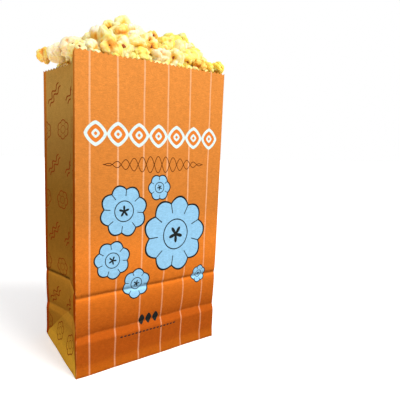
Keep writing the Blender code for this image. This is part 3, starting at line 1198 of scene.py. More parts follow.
    def soft_relief(self, around: np.ndarray, height: np.ndarray) -> np.ndarray:
        """Soft dents, deeper low on the sheet, small puckers, and the waves of the rim.

        Args:
            around: Distance round the tube of each point.
            height: Height of each point.

        Returns:
            How far the sheet stands out there.
        """
        place = np.stack([around, height], axis=-1)
        low = 1.0 + self.low_dents_gain * (1.0 - smooth_step(height, 0.0, self.low_dents_top))
        soft = self.soft_dents.size * low * self.soft_dents.at(place, self.seed)
        small = self.small_dents.size * low * np.abs(self.small_dents.at(place, self.seed + 1))
        at_rim = smooth_step(height, self.rim_wave_start, self.height)
        rim = self.rim_wave.size * at_rim * self.rim_wave.at(place[..., :1], self.seed + 2)
        return soft + small + rim

    def relief(
        self, around: np.ndarray, height: np.ndarray, local: np.ndarray, side: np.ndarray
    ) -> np.ndarray:
        """How far the sheet stands proud of its folded planes.

        Args:
            around: Distance round the tube of each point.
            height: Height of each point.
            local: Distance of each point from the start of its side.
            side: Length of the side that each point is on.

        Returns:
            The bulge of a panel, less the cross creases, with soft dents and the lap of the back seam.
        """
        swell = np.sin(math.pi * np.clip(local / side, 0.0, 1.0))
        share = np.clip(height / self.height, 0.0, 1.0)
        on_panel = side > (self.width + self.depth) / 2
        belly = self.bulge * np.sin(math.pi * share) + self.mouth_bulge * share
        belly = np.where(on_panel, belly * swell, 0.0)
        from_fold = np.minimum(local, side - local)
        valleys = self.dent(height + self.waver(around)) * np.where(on_panel, 1.0, self.gusset_dent_share)
        valleys *= (1.0 - self.corner_share) * smooth_step(from_fold, 0.0, self.corner_reach)
        weight = smooth_step(from_fold, 0.0, self.smooth_margin)
        weight = weight * np.where(on_panel, 1.0, self.gusset_soft_share)
        lap = smooth_step(around, self.seam - self.seam_edge, self.seam + self.seam_edge)
        lap *= 1.0 - np.clip((around - self.seam) / self.seam_lap, 0.0, 1.0)
        return belly + valleys + weight * self.soft_relief(around, height) + self.seam_lift * lap

    def fold(self, around: np.ndarray, height: np.ndarray) -> np.ndarray:
        """Places of the sheet's points on the folded bag.

        Round the front half of the tube a panel is flat at half the depth, and a gusset runs back from its
        corner. A gusset's point is tucked in by the tuck at its height, times the least of its distance
        from the nearer corner, its height and half the depth, as a share of half the depth. The back half
        is the front half turned by 180 degrees.

        Args:
            around: Distance round the tube of each point.
            height: Height of each point.

        Returns:
            The points' coordinates, on the last axis.
        """
        slack = 1e-9
        first = np.mod(around, self.half_round)
        turned = np.where(around >= self.half_round - slack, -1.0, 1.0)
        on_panel = first <= self.width
        local = np.where(on_panel, first, first - self.width)
        side = np.where(on_panel, self.width, self.depth)
        proud = self.relief(around, height, local, side)
        nip = -self.corner_share * self.dent(height + self.waver(around))
        corner = self.corner(height) - nip
        half = self.depth / 2
        near = np.minimum(np.minimum(local, self.depth - local), np.minimum(height, half))
        inward = np.interp(height, self.tuck_heights, self.tucks) * np.clip(near, 0.0, half) / half
        panel_x = (first - self.width / 2) * (1.0 - 2.0 * nip / self.width)
        x = np.where(on_panel, panel_x, self.width / 2 - nip - inward + proud)
        y = np.where(on_panel, -corner - proud, corner * (2.0 * local / self.depth - 1.0))
        return np.stack([turned * x, turned * y, height], axis=-1)

    def build(self, finish: SheetFinish) -> Object:
        """Builds the folded sheet, with its UV map in metres and the creases' tilt as an attribute.

        Args:
            finish: The paper's materials.

        Returns:
            The bag's wall, a closed shell of the paper's thickness.
        """
        around = self.columns()
        heights = self.rows()
        columns, rows = np.meshgrid(around, heights)
        raised = smooth_step(rows, self.height - self.tooth_reach, self.height)
        level = rows - self.tooth_dip(columns) * raised
        points = self.fold(columns, level)
        quads = grid_quads(len(heights), len(around), closed=True)
        piece = mesh_piece("bag_wall", points.reshape(-1, 3), quads)
        self.map_sheet(piece, around, level)
        # The tilt sets the painted shade of the printed material.
        write_attribute(piece, "tilt", self.tilt(columns, level))
        wall = piece.modifiers.new("paper", "SOLIDIFY")
        wall.thickness = self.sheet
        wall.offset = -1.0
        wall.material_offset = 1
        wall.material_offset_rim = 1
        dress(piece, Slot.PAPER, finish.printed(), finish.plain())
        return piece

    def map_sheet(self, piece: Object, around: np.ndarray, level: np.ndarray) -> None:
        """Writes the UV map: across is the distance round the tube and up is the height, in metres.

        Args:
            piece: The bag's wall.
            around: Distance round the tube of each column.
            level: Height of each point of the grid.
        """
        ends = np.append(around, 2.0 * self.half_round)
        lift = np.concatenate([level, level[:, :1]], axis=1)
        across = np.broadcast_to(ends, lift.shape)
        quads = grid_quads(lift.shape[0], lift.shape[1], closed=False)
        corners = np.stack([across.reshape(-1)[quads], lift.reshape(-1)[quads]], axis=-1)
        layer = piece.data.uv_layers.new(name="sheet")
        layer.uv.foreach_set("vector", corners.astype(np.float32).reshape(-1))

    def build_base(self, finish: SheetFinish) -> list[Object]:
        """Builds the flat base: its inner sheet and the two flaps folded over it, from below.

        Args:
            finish: The paper's materials.

        Returns:
            The base's pieces.
        """
        x, y = self.width / 2 - self.base_inset, self.depth / 2 - self.base_inset
        reach = self.depth * self.flap_share
        whole = ((-x, -y), (x, -y), (x, y), (-x, y))
        far = ((-x + reach, y - reach), (x - reach, y - reach), (x, y), (-x, y))
        near = ((-x, -y), (x, -y), (x - reach, reach - y), (-x + reach, reach - y))
        pieces = [
            slab("base_sheet", whole, *self.base_levels),
            slab("base_flap_back", far, *self.back_flap_levels),
            slab("base_flap_front", near, *self.front_flap_levels),
        ]
        kraft = finish.plain()
        for piece in pieces:
            dress(piece, Slot.PAPER, kraft)
        return pieces


def slab(name: str, corners: tuple[tuple[float, float], ...], low: float, high: float) -> Object:
    """Thin four-sided plate of paper.

    Each face is a grid blended from the four corners: with shares a across and b up, the point is the
    blend by b of the lower edge's point at a and the upper edge's point at a.

    Args:
        name: Name of the piece.
        corners: Lower left, lower right, upper right and upper left corner.
        low: Height of the lower face.
        high: Height of the upper face.

    Returns:
        The plate, a closed surface.
    """
    count = 12
    across, up = np.meshgrid(np.linspace(0, 1, count), np.linspace(0, 1, count))
    near_left, near_right, far_right, far_left = (np.array(corner) for corner in corners)
    near = near_left + across[..., None] * (near_right - near_left)
    far = far_left + across[..., None] * (far_right - far_left)
    flat = (near + up[..., None] * (far - near)).reshape(-1, 2)
    top = np.column_stack([flat, np.full(len(flat), high)])
    under = np.column_stack([flat, np.full(len(flat), low)])
    faces = grid_quads(count, count, closed=False)
    index = np.arange(count * count).reshape(count, count)
    rim = np.concatenate([index[0, :-1], index[:-1, -1], index[-1, :0:-1], index[:0:-1, 0]])
    after = np.roll(rim, -1)
    offset = count * count
    walls = np.stack([rim + offset, after + offset, after, rim], axis=-1)
    return mesh_piece(name, np.concatenate([top, under]), faces, faces[:, ::-1] + offset, walls)


@dataclass
class Kernel:
    """One popped kernel: a cluster of balls, flattened, turned and set at a place in the heap."""

    index: int
    size: float
    seed: int
    heart: float = 0.42
    place: Vector = field(default_factory=lambda: Vector((0.0, 0.0, 0.0)))

    def __post_init__(self) -> None:
        """Draws the kernel's lobes and its turn."""
        draw = random.Random(self.seed * 1000 + self.index)
        count = draw.randint(5, 8)
        turn = draw.uniform(0, math.tau)
        golden = math.pi * (3 - math.sqrt(5))
        self.lobes = [(Vector((0, 0, 0)), self.heart)]
        for i in range(count):
            level = 1 - 2 * (i + 0.5) / count
            around = turn + golden * i + draw.uniform(-0.35, 0.35)
            flat = math.sqrt(1 - level * level)
            way = Vector((flat * math.cos(around), flat * math.sin(around), level))
            reach = draw.uniform(0.42, 0.58)
            self.lobes.append((way * reach, draw.uniform(0.88, 1.0) - reach))
        spin = Matrix.Rotation(draw.uniform(0, math.tau), 3, "Z")
        tip = Matrix.Rotation(draw.uniform(0, math.pi), 3, "X")
        roll = Matrix.Rotation(draw.uniform(0, math.tau), 3, "Y")
        flat = Matrix.Diagonal((1.0, draw.uniform(0.84, 0.96), draw.uniform(0.70, 0.88)))
        self.turn = spin @ tip @ roll @ flat

    def reach(self, way: Vector) -> float:
        """How far the kernel reaches from its place along a direction."""
        pulled = self.turn.transposed() @ way
        return self.size * max(pulled.dot(c) + pulled.length * r for c, r in self.lobes)

    def petals(self) -> list[tuple[np.ndarray, np.ndarray]]:
        """Ellipsoids of the finished kernel, one group for the heart and one for each lobe.

        A lobe becomes a broad petal, flatter one way than the other, with a few rounded folds on it.

        Returns:
            For each group, the centres, and the matrices that scale each ellipsoid to a unit ball.
        """
        draws = np.random.default_rng(self.seed * 7000 + self.index)
        groups = [(np.zeros((1, 3)), np.eye(3)[None] / self.heart)]
        for centre, radius in self.lobes[1:]:
            middle = np.array(centre)
            out = middle / np.linalg.norm(middle)
            swell = draws.uniform(0.0, 0.13)
            centres = [middle - out * swell]
            wide, narrow = draws.uniform(1.05, 1.50), draws.uniform(0.55, 0.90)
            axes = [np.array([wide, narrow, 1.0]) * (radius + swell)]
            ways = [out]
            for _ in range(draws.integers(1, 4)):
                way = draws.normal(size=3) + 0.5 * out
                way /= np.linalg.norm(way)
                share = draws.uniform(0.50, 0.80)
                centres.append(middle + way * radius * (1.0 - share))
                axes.append(radius * share * draws.uniform(0.75, 1.15, size=3))
                ways.append(way)
            frames = np.array([upright(way, draws.uniform(0, math.tau)) for way in ways])
            groups.append((np.array(centres), frames.transpose(0, 2, 1) / np.array(axes)[:, :, None]))
        return groups


@dataclass
class Sphere:
    """Even net of directions: six square grids blown up to a ball and joined at their borders."""

    steps: int

    def __post_init__(self) -> None:
        """Works out the directions and the quads between them.

        On a cube's face with shares a and b from -1 to 1, the direction is that of the point
        (1, tan(a pi / 4), tan(b pi / 4)), with its axes swapped and its signs changed for each face.
        """
        share = np.tan(np.linspace(-1.0, 1.0, self.steps + 1) * math.pi / 4)
        a, b = np.meshgrid(share, share)
        ones = np.ones_like(a)
        faces = []
        for axis in range(3):
            for sign in (-1.0, 1.0):
                faces.append(np.roll(np.stack([sign * ones, a, b], axis=-1), axis, axis=-1))
        points = np.concatenate([face.reshape(-1, 3) for face in faces])
        points /= np.linalg.norm(points, axis=1, keepdims=True)
        _, first, joined = np.unique(np.round(points, 6), axis=0, return_index=True, return_inverse=True)
        quads = grid_quads(self.steps + 1, self.steps + 1, closed=False)
        size = (self.steps + 1) ** 2
        quads = np.concatenate([quads + size * i for i in range(len(faces))])
        quads = joined.reshape(-1)[quads]
        self.ways = points[first]
        corners = self.ways[quads]
        normal = np.cross(corners[:, 1] - corners[:, 0], corners[:, 2] - corners[:, 0])
        inward = (normal * corners.mean(axis=1)).sum(axis=1) < 0
        quads[inward] = quads[inward][:, ::-1]
        self.quads = quads


@dataclass
class KernelMesh:
    """Points of one finished kernel, with what its material needs at each point.

    The tones' four channels are the creases, the depth, the stain of the hull, and a value of the kernel.
    """

    points: np.ndarray
    tones: np.ndarray
    hull_place: np.ndarray
    hull_way: np.ndarray


@dataclass
class PopcornHeap:
    """The popcorn: kernels over the mouth, kernels in the gaps below them, hull shells and a core.

    The mounds are rows of a place along and across the mouth, a height and a spread. The crown and the
    front are rows of a place along and across the mouth, a height over the rim, and a size.
    """

    bag: PaperBag
    seed: int = 41
    paper: float = 0.0005
    rim_clearance: float = 0.0005
    heap_edge: float = 0.001
    heap_crown: float = 0.020
    large: float = 0.0125
    small: float = 0.0070
    count: int = 150
    tries: int = 260
    spacing: float = 0.62
    sink: float = 0.20
    rim_kernel: float = 0.0098
    rim_count: int = 9
    mounds: tuple = (
        (-0.026, -0.004, 0.0160, 0.0200),
        (0.046, 0.000, 0.0150, 0.0170),
        (-0.056, -0.018, -0.0070, 0.0090),
    )
    crown: tuple = (
        (-0.0835, 0.0210, 0.0085, 0.0085),
        (-0.0745, 0.0230, 0.0120, 0.0085),
        (-0.0735, 0.0110, 0.0080, 0.0110),
        (-0.0665, -0.0010, 0.0165, 0.0105),
        (-0.0580, 0.0080, 0.0120, 0.0120),
        (-0.0440, -0.0120, 0.0235, 0.0110),
        (-0.0310, -0.0080, 0.0340, 0.0098),
        (-0.0180, -0.0050, 0.0375, 0.0128),
        (-0.0050, -0.0080, 0.0300, 0.0105),
        (-0.0280, -0.0220, 0.0215, 0.0112),
        (0.0172, -0.0040, 0.0345, 0.0068),
        (0.0060, -0.0130, 0.0240, 0.0118),
        (0.0370, -0.0080, 0.0330, 0.0128),
        (0.0530, -0.0030, 0.0365, 0.0105),
        (0.0605, -0.0100, 0.0260, 0.0100),
        (-0.0300, -0.0300, 0.0075, 0.0112),
        (0.0060, -0.0310, 0.0075, 0.0108),
        (0.0240, -0.0300, 0.0080, 0.0112),
        (0.0510, -0.0230, 0.0140, 0.0112),
        (0.0650, -0.0325, 0.0050, 0.0082),
        (0.0735, -0.0360, 0.0062, 0.0078),
    )
    front: tuple = (
        (-0.0690, -0.0290, 0.0045, 0.0085),
        (-0.0572, -0.0275, 0.0068, 0.0112),
        (-0.0005, -0.0280, 0.0145, 0.0078),
        (-0.0125, -0.0335, 0.0060, 0.0082),
        (0.0225, -0.0185, 0.0215, 0.0112),
        (0.0422, -0.0275, 0.0125, 0.0108),
    )
    white: tuple[int, ...] = (2, 3, 5, 8, 16)
    buttered: tuple[int, ...] = (12, 13, 14, 18, 19, 20, 24, 25, 26)
    cream: tuple[int, ...] = (17, 48)
    toasted: tuple[int, ...] = (0, 1, 9, 10, 23)
    settled: dict[int, float] = field(
        default_factory=lambda: {
            3: 0.0030, 5: 0.0035, 6: 0.0040, 7: 0.0028, 12: 0.0035, 21: 0.0060,
            22: 0.0035, 35: 0.0050, 46: 0.0065, 56: 0.0030, 64: 0.0090,
        }
    )
    hulls: dict[int, float] = field(
        default_factory=lambda: {
            6: 0.0028, 10: 0.0028, 15: 0.0046, 17: 0.0034, 18: 0.0030, 22: 0.0026, 23: 0.0038,
        }
    )
    hull_chance: float = 0.50
    hull_sizes: tuple[float, float] = (0.0016, 0.0026)
    hull_facing: tuple[float, float, float] = (-0.45, -0.85, 0.30)
    rich_middle: float = 0.26
    rich_slope: float = 3.0
    toasted_over: float = 0.90
    cream_under: float = 0.68
    growth: float = 1.10
    fine_steps: int = 18
    coarse_steps: int = 8
    folds: Ripple = Ripple(0.062, 9, 0.45, 0.95)
    wrinkles: Ripple = Ripple(0.016, 12, 0.16, 0.32)
    bend: Ripple = Ripple(0.050, 6, 0.9, 1.7)
    under_columns: int = 11
    under_rows: int = 6
    under_margins: tuple[float, float] = (0.018, 0.010)
    under_sizes: tuple[float, float] = (0.0085, 0.0115)
    under_sink: float = 0.0115
    under_first: int = 500
    hold_levels: tuple[float, float] = (-0.0012, 0.0010)
    hold_gap: float = 0.0006
    core_low: float = 0.004
    core_below_rim: float = 0.016
    core_rows: int = 26
    core_dome_rows: int = 22
    core_gap: float = 0.0035
    core_sink: float = 0.015
    core_lumps: Ripple = Ripple(0.0018, 14, 0.012, 0.026)

    def __post_init__(self) -> None:
        """Works out the height of the rim, and the mouth's half depth and tuck there."""
        self.rim = self.bag.height
        self.mouth_y = float(self.bag.corner(np.array(self.rim)))
        self.tuck = self.bag.tucks[-1]

    def heap_height(self, x: float, y: float) -> float:
        """Height of the heap over the rim: a crown that falls to the walls, with mounds and a hollow.

        The fall is (1 - (x / half width)^4) (1 - (y / half depth)^2), and a mound is a Gaussian hump.

        Args:
            x: Place along the mouth.
            y: Place across the mouth.

        Returns:
            The height.
        """
        half_x, half_y = self.bag.width / 2, self.bag.depth / 2
        fall = max(0.0, 1 - (x / half_x) ** 4) * max(0.0, 1 - (y / half_y) ** 2)
        mounds = sum(
            height * math.exp(-((x - cx) ** 2 + (y - cy) ** 2) / (2 * spread * spread))
            for cx, cy, height, spread in self.mounds
        )
        return self.heap_edge + self.heap_crown * fall + mounds * min(1.0, 1.6 * fall)

    def clears_paper(self, kernel: Kernel) -> bool:
        """Tells whether a kernel touches no paper.

        Args:
            kernel: The kernel, at its place.

        Returns:
            True if it is wholly over the mouth, or wholly inside the walls.
        """
        lowest = kernel.place.z - kernel.reach(Vector((0, 0, -1)))
        if lowest > self.rim + self.rim_clearance:
            return True
        room = self.mouth_y - self.paper - self.rim_clearance
        for side in (-1, 1):
            if room - side * kernel.place.y <= kernel.reach(Vector((0, side, 0))):
                return False
        return self.inside_gusset(kernel, -1) and self.inside_gusset(kernel, 1)

    def inside_gusset(self, kernel: Kernel, side: int) -> bool:
        """Tells whether a kernel lies on the inner side of a gusset.

        Args:
            kernel: The kernel, at its place.
            side: Minus one for the left gusset, or one for the right.

        Returns:
            True if it clears the plane of either half of the gusset.
        """
        lean = math.atan2(self.tuck, self.mouth_y)
        crease = Vector((side * (self.bag.width / 2 - self.paper - self.tuck), 0, kernel.place.z))
        for half in (-1, 1):
            out = Vector((side * math.cos(lean), half * math.sin(lean), 0))
            if out.dot(crease - kernel.place) > kernel.reach(out) + self.rim_clearance:
                return True
        return False

    def clears(self, kernel: Kernel, placed: list[Kernel]) -> bool:
        """Tells whether a kernel keeps its distance from others.

        Args:
            kernel: The kernel, at its place.
            placed: The kernels already placed.

        Returns:
            True if every distance is over the spacing times the sum of the two sizes.
        """
        return all(
            (kernel.place - other.place).length > self.spacing * (kernel.size + other.size)
            for other in placed
        )

    def against_panel(self, kernel: Kernel, side: float) -> float:
        """Place across the mouth at which a kernel just clears the front or back panel."""
        room = self.mouth_y - self.paper - 1.1 * self.rim_clearance
        return side * (room - kernel.reach(Vector((0, side, 0))))

    def crown_kernels(self) -> list[Kernel]:
        """Kernels that give the heap its outline; one that would touch the paper is raised over the mouth.

        Returns:
            The kernels of the crown and of the front.
        """
        placed = []
        for x, y, over, size in self.crown + self.front:
            kernel = Kernel(len(placed), size, self.seed)
            kernel.place = Vector((x, y, self.rim + over))
            if not self.clears_paper(kernel):
                kernel.place.z = self.rim + 1.2 * self.rim_clearance + kernel.reach(Vector((0, 0, -1)))
            placed.append(kernel)
        return placed

    def fill(self) -> list[Kernel]:
        """All the kernels of the top layer, in the order in which the solid's were placed.

        Each is a tenth larger than the solid's, where it still clears the paper, and a few settle lower.

        Returns:
            The crown's kernels, those dropped from large to small where there is room, and the rim's rows.
        """
        draw = random.Random(self.seed)
        placed = self.crown_kernels()
        for i in range(self.count):
            size = self.large + (self.small - self.large) * (i / self.count) ** 1.3
            kernel = Kernel(len(placed), size, self.seed)
            for _ in range(self.tries):
                x = draw.uniform(-0.5, 0.5) * self.bag.width
                y = draw.uniform(-0.5, 0.5) * self.bag.depth
                if i % 2:
                    y = self.against_panel(kernel, math.copysign(1, y))
                lift = self.heap_height(x, y) - self.sink * size
                kernel.place = Vector((x, y, self.rim + lift))
                if self.clears(kernel, placed) and self.clears_paper(kernel):
                    placed.append(kernel)
                    break
        first = len(placed)
        placed += self.rim_row(first, -1) + self.rim_row(first + self.rim_count, 1)
        for kernel in placed:
            kernel.size *= self.growth
            if not self.clears_paper(kernel):
                kernel.size /= self.growth
            kernel.place.z -= self.settled.get(kernel.index, 0.0)
        return placed

    def rim_row(self, first: int, side: int) -> list[Kernel]:
        """Small kernels along the rim of one panel, wedged between the larger ones.

        Args:
            first: Index of the row's first kernel.
            side: Minus one for the front panel, or one for the back.

        Returns:
            Those of the row that clear the paper.
        """
        draw = random.Random(self.seed + side)
        row = []
        for i in range(self.rim_count):
            kernel = Kernel(first + i, draw.uniform(0.85, 1.1) * self.rim_kernel, self.seed)
            share = (i + draw.uniform(0.3, 0.7)) / self.rim_count
            x = (share - 0.5) * (self.bag.width - 2.6 * self.rim_kernel)
            lift = draw.uniform(-0.50, -0.15) * self.rim_kernel
            kernel.place = Vector((x, self.against_panel(kernel, side), self.rim + lift))
            if self.clears_paper(kernel):
                row.append(kernel)
        return row

    def under_layer(self) -> list[Kernel]:
        """Kernels a layer down, which show through the gaps of the top layer.

        Returns:
            One kernel for each cell of a grid over the mouth, where it clears the paper.
        """
        draw = random.Random(self.seed + 7)
        along, across = self.bag.width - self.under_margins[0], self.bag.depth - self.under_margins[1]
        placed = []
        for i in range(self.under_columns):
            for j in range(self.under_rows):
                x = ((i + draw.uniform(0.3, 0.7)) / self.under_columns - 0.5) * along
                y = ((j + draw.uniform(0.3, 0.7)) / self.under_rows - 0.5) * across
                index = self.under_first + self.under_rows * i + j
                kernel = Kernel(index, draw.uniform(*self.under_sizes), self.seed)
                kernel.place = Vector((x, y, self.rim + self.heap_height(x, y) - self.under_sink))
                if self.clears_paper(kernel):
                    placed.append(kernel)
        return placed

    def surface(self, kernel: Kernel, net: Sphere) -> KernelMesh:
        """Surface of a kernel on a net of directions.

        With an ellipsoid's centre c and direction d scaled to its unit ball, the ray leaves it at
        (d.c + sqrt((d.c)^2 - d.d (c.c - 1))) / d.d. The radius is the soft maximum of that over each lobe,
        then over the lobes, plus the absolute value of two ripples, which makes puffs with sharp valleys.
        A low ripple of each coordinate bends the whole, and the turn, the size and the place follow.

        Args:
            kernel: The kernel.
            net: Directions and quads.

        Returns:
            The points, their tones, and the place and direction of the deepest outward crevice.
        """
        lobe_sharp, union_sharp, crease_sharp = 24.0, 48.0, 16.0
        deep_radius, deep_span, ripple_middle, stain_area = 0.50, 0.42, 0.7, 0.06
        reaches = []
        for centres, shapes in kernel.petals():
            ways = np.einsum("nij,mj->mni", shapes, net.ways)
            middles = np.einsum("nij,nj->ni", shapes, centres)
            squares = (ways**2).sum(axis=2)
            along = (ways * middles).sum(axis=2)
            inside = along**2 - squares * ((middles**2).sum(axis=1) - 1.0)
            out = np.where(inside > 0, (along + np.sqrt(np.clip(inside, 0.0, None))) / squares, 0.0)
            reaches.append(soft_maximum(np.clip(out, 0.0, None), lobe_sharp))
        reaches = np.stack(reaches, axis=1)
        radius = soft_maximum(reaches, union_sharp)
        ordered = np.sort(reaches, axis=1)
        crease = np.exp(-(ordered[:, -1] - ordered[:, -2]) * crease_sharp)
        deep = 1.0 - np.clip((radius - deep_radius) / deep_span, 0.0, 1.0)
        folds = np.abs(self.folds.at(net.ways, kernel.index + 11)) - ripple_middle
        wrinkles = np.abs(self.wrinkles.at(net.ways, kernel.index + 211)) - ripple_middle
        radius = radius + self.folds.size * folds + self.wrinkles.size * wrinkles
        turn = np.array(kernel.turn)
        straight = net.ways * radius[:, None]
        bends = [self.bend.at(straight, kernel.index * 3 + axis) for axis in range(3)]
        local = (straight + self.bend.size * np.stack(bends, axis=1)) @ turn.T
        points = self.pressed(local * kernel.size + np.array(kernel.place))
        facing = net.ways @ turn.T
        facing /= np.linalg.norm(facing, axis=1, keepdims=True)
        weight = 0.6 if kernel.index in self.hulls else 1.6
        spot = int(np.argmax(facing @ self.outward(kernel) - weight * radius))
        stain = np.exp(-(((local - local[spot]) ** 2).sum(axis=1)) / stain_area)
        tones = np.stack([crease, deep, stain, np.zeros_like(deep)], axis=-1)
        return KernelMesh(points, tones, points[spot], facing[spot])

    def pressed(self, points: np.ndarray) -> np.ndarray:
        """Points with those below the rim held inside the panels and the tucked gussets.

        The hold comes in over about two millimetres round the rim, and above them nothing is held back.

        Args:
            points: One row of three coordinates for each point.

        Returns:
            The points, with those that lay past the paper brought back inside it.
        """
        low, high = self.hold_levels
        hold = 1.0 - smooth_step(points[:, 2], self.rim + low, self.rim + high)
        gap = self.paper + self.hold_gap
        room_y = self.mouth_y - gap
        y = np.clip(points[:, 1], -room_y, room_y)
        room_x = self.bag.width / 2 - self.tuck * (1.0 - np.abs(y) / self.mouth_y) - gap
        x = np.clip(points[:, 0], -room_x, room_x)
        held = np.stack([x, y, points[:, 2]], axis=1)
        return points + hold[:, None] * (held - points)

    def outward(self, kernel: Kernel) -> np.ndarray:
        """Direction in which a kernel shows: away from the heap's axis, and up and to the front.

        Args:
            kernel: The kernel, at its place.

        Returns:
            The direction, of unit length; for a kernel whose hull is listed, the one towards the camera.
        """
        x, y = kernel.place.x, kernel.place.y
        way = np.array([x / 0.10, y / 0.05 - 0.55, 0.8])
        if kernel.index in self.hulls:
            way = np.array(self.hull_facing)
        return way / np.linalg.norm(way)

    def kind(self, kernel: Kernel, chance: float) -> KernelKind:
        """Kind of a kernel: as listed for the crown, and drawn for the others, more buttered to the right.

        Args:
            kernel: The kernel, at its place.
            chance: Number drawn from 0 to 1.

        Returns:
            The kind.
        """
        for kind in KernelKind:
            if kernel.index in getattr(self, kind.value):
                return kind
        if kernel.index < len(self.crown + self.front):
            return KernelKind.CREAM
        if chance < self.rich_middle + self.rich_slope * kernel.place.x:
            return KernelKind.BUTTERED
        if chance > self.toasted_over:
            return KernelKind.TOASTED
        return KernelKind.CREAM if chance < self.cream_under else KernelKind.WHITE

    def build(self, finish: CornFinish) -> list[Object]:
        """Builds the heap.

        Args:
            finish: The popcorn's materials.

        Returns:
            The kernels by kind, the layer under them, the hull shells and the core.
        """
        fine = Sphere(self.fine_steps)
        groups: dict[KernelKind, list[KernelMesh]] = {kind: [] for kind in KernelKind}
        shells: list[tuple[KernelMesh, float]] = []
        draw = random.Random(self.seed + 3)
        for kernel in self.fill():
            made = self.surface(kernel, fine)
            kind = self.kind(kernel, draw.random())
            made.tones[:, 3] = draw.uniform(0.0, 1.0)
            groups[kind].append(made)
            chance, radius = draw.random(), draw.uniform(*self.hull_sizes)
            if chance < self.hull_chance or kernel.index in self.hulls:
                shells.append((made, self.hulls.get(kernel.index, radius)))
        pieces = []
        for kind, meshes in groups.items():
            piece = join_kernels(f"kernels_{kind.value}", meshes, fine)
            dress(piece, Slot.CORN, finish.popped(kind))
            pieces.append(piece)
        coarse = Sphere(self.coarse_steps)
        under = [self.surface(kernel, coarse) for kernel in self.under_layer()]
        piece = join_kernels("kernels_under", under, coarse)
        dress(piece, Slot.CORN, finish.popped(KernelKind.BUTTERED))
        return pieces + [piece, self.build_shells(shells, finish), self.build_core(finish)]

    def build_shells(self, kernels: list[tuple[KernelMesh, float]], finish: CornFinish) -> Object:
        """Builds the hull shells: curled brown flakes of skin in the crevices of some kernels.

        A shell is a cap of a ball: with share a of its opening and turn b, the point is at the polar
        angle a * opening, which wavers with b so that the rim is ragged. The inner face is the same cap
        on a slightly smaller ball.

        Args:
            kernels: The kernels that carry a shell, each with its shell's radius.
            finish: The popcorn's materials.

        Returns:
            One piece that holds every shell.
        """
        rings, turns, first_share = 7, 20, 0.04
        inner_scale, narrow, sunk = 0.90, 0.75, 0.72
        draws = np.random.default_rng(self.seed + 9)
        share, turn = disc_grid(np.linspace(first_share, 1, rings), turns)
        count = 2 * rings * turns + 2
        quads = grid_quads(2 * rings, turns, closed=True)[:, ::-1]
        tips = cap_triangles(0, turns, count - 2)
        backs = cap_triangles((2 * rings - 1) * turns, turns, count - 1)[:, ::-1]
        points = []
        for number, (kernel, radius) in enumerate(kernels):
            opening = draws.uniform(0.9, 1.35)
            ragged = 1 + 0.10 * np.sin(3 * turn + number) + 0.07 * np.sin(7 * turn + 2 * number)
            polar = share * opening * (1 + (ragged - 1) * share)
            flat = np.sin(polar)
            cap = np.stack([flat * np.cos(turn), narrow * flat * np.sin(turn), np.cos(polar)], axis=-1)
            skins = np.concatenate([cap, inner_scale * cap[::-1]]).reshape(-1, 3)
            poles = np.array([[0, 0, 1], [0, 0, inner_scale]])
            shell = radius * (np.concatenate([skins, poles]) - np.array([0, 0, sunk]))
            turned = upright(kernel.hull_way, draws.uniform(0, math.tau))
            points.append(shell @ turned.T + kernel.hull_place)
        starts = count * np.arange(len(kernels))
        faces = [np.concatenate([corners + start for start in starts]) for corners in (quads, tips, backs)]
        piece = mesh_piece("hull_shells", np.concatenate(points), *faces)
        dress(piece, Slot.CORN, finish.hull())
        return piece

    def build_core(self, finish: CornFinish) -> Object:
        """Builds the core: a column inside the paper with a lumpy dome.

        A row below the mouth is the bag's own ring, drawn in by a gap. A row of the dome is the mouth's
        ring times a shrinking share, at the heap's height less a sink, with ripples of a kernel's size.

        Args:
            finish: The popcorn's materials.

        Returns:
            The core, a closed surface.
        """
        bag, widest, narrowest = self.bag, 0.95, 0.04
        around = bag.columns()[::2]
        levels = np.linspace(self.core_low, self.rim - self.core_below_rim, self.core_rows)
        wall = bag.fold(*np.meshgrid(around, levels))
        wall *= np.array([1 - self.core_gap / (bag.width / 2), 1 - self.core_gap / (bag.depth / 2), 1.0])
        shares = np.linspace(widest, narrowest, self.core_dome_rows)
        dome = wall[-1][None] * shares[:, None, None]
        heap = np.vectorize(self.heap_height)(dome[..., 0], dome[..., 1])
        lumps = self.core_lumps.size * self.core_lumps.at(dome[..., :2], self.seed + 5)
        dome[..., 2] = self.rim + heap - self.core_sink + lumps
        grid = np.concatenate([wall, dome])
        rows, turns = grid.shape[:2]
        poles = np.stack([grid[-1].mean(axis=0), grid[0].mean(axis=0)])
        quads = grid_quads(rows, turns, closed=True)
        top = cap_triangles((rows - 1) * turns, turns, rows * turns)
        bottom = cap_triangles(0, turns, rows * turns + 1)[:, ::-1]
        points = np.concatenate([grid.reshape(-1, 3), poles])
        piece = mesh_piece("popcorn_core", points, quads, top, bottom)
        dress(piece, Slot.CORN, finish.core())
        return piece


def upright(way: np.ndarray, spin: float) -> np.ndarray:
    """Turn that carries +Z to a direction, after a spin about +Z.

    Args:
        way: The direction, of unit length.
        spin: The spin in radians.

    Returns:
        The turn as a three by three array.
    """
    turned = Vector((0, 0, 1)).rotation_difference(Vector(way)).to_matrix()
    return np.array(turned @ Matrix.Rotation(spin, 3, "Z"))


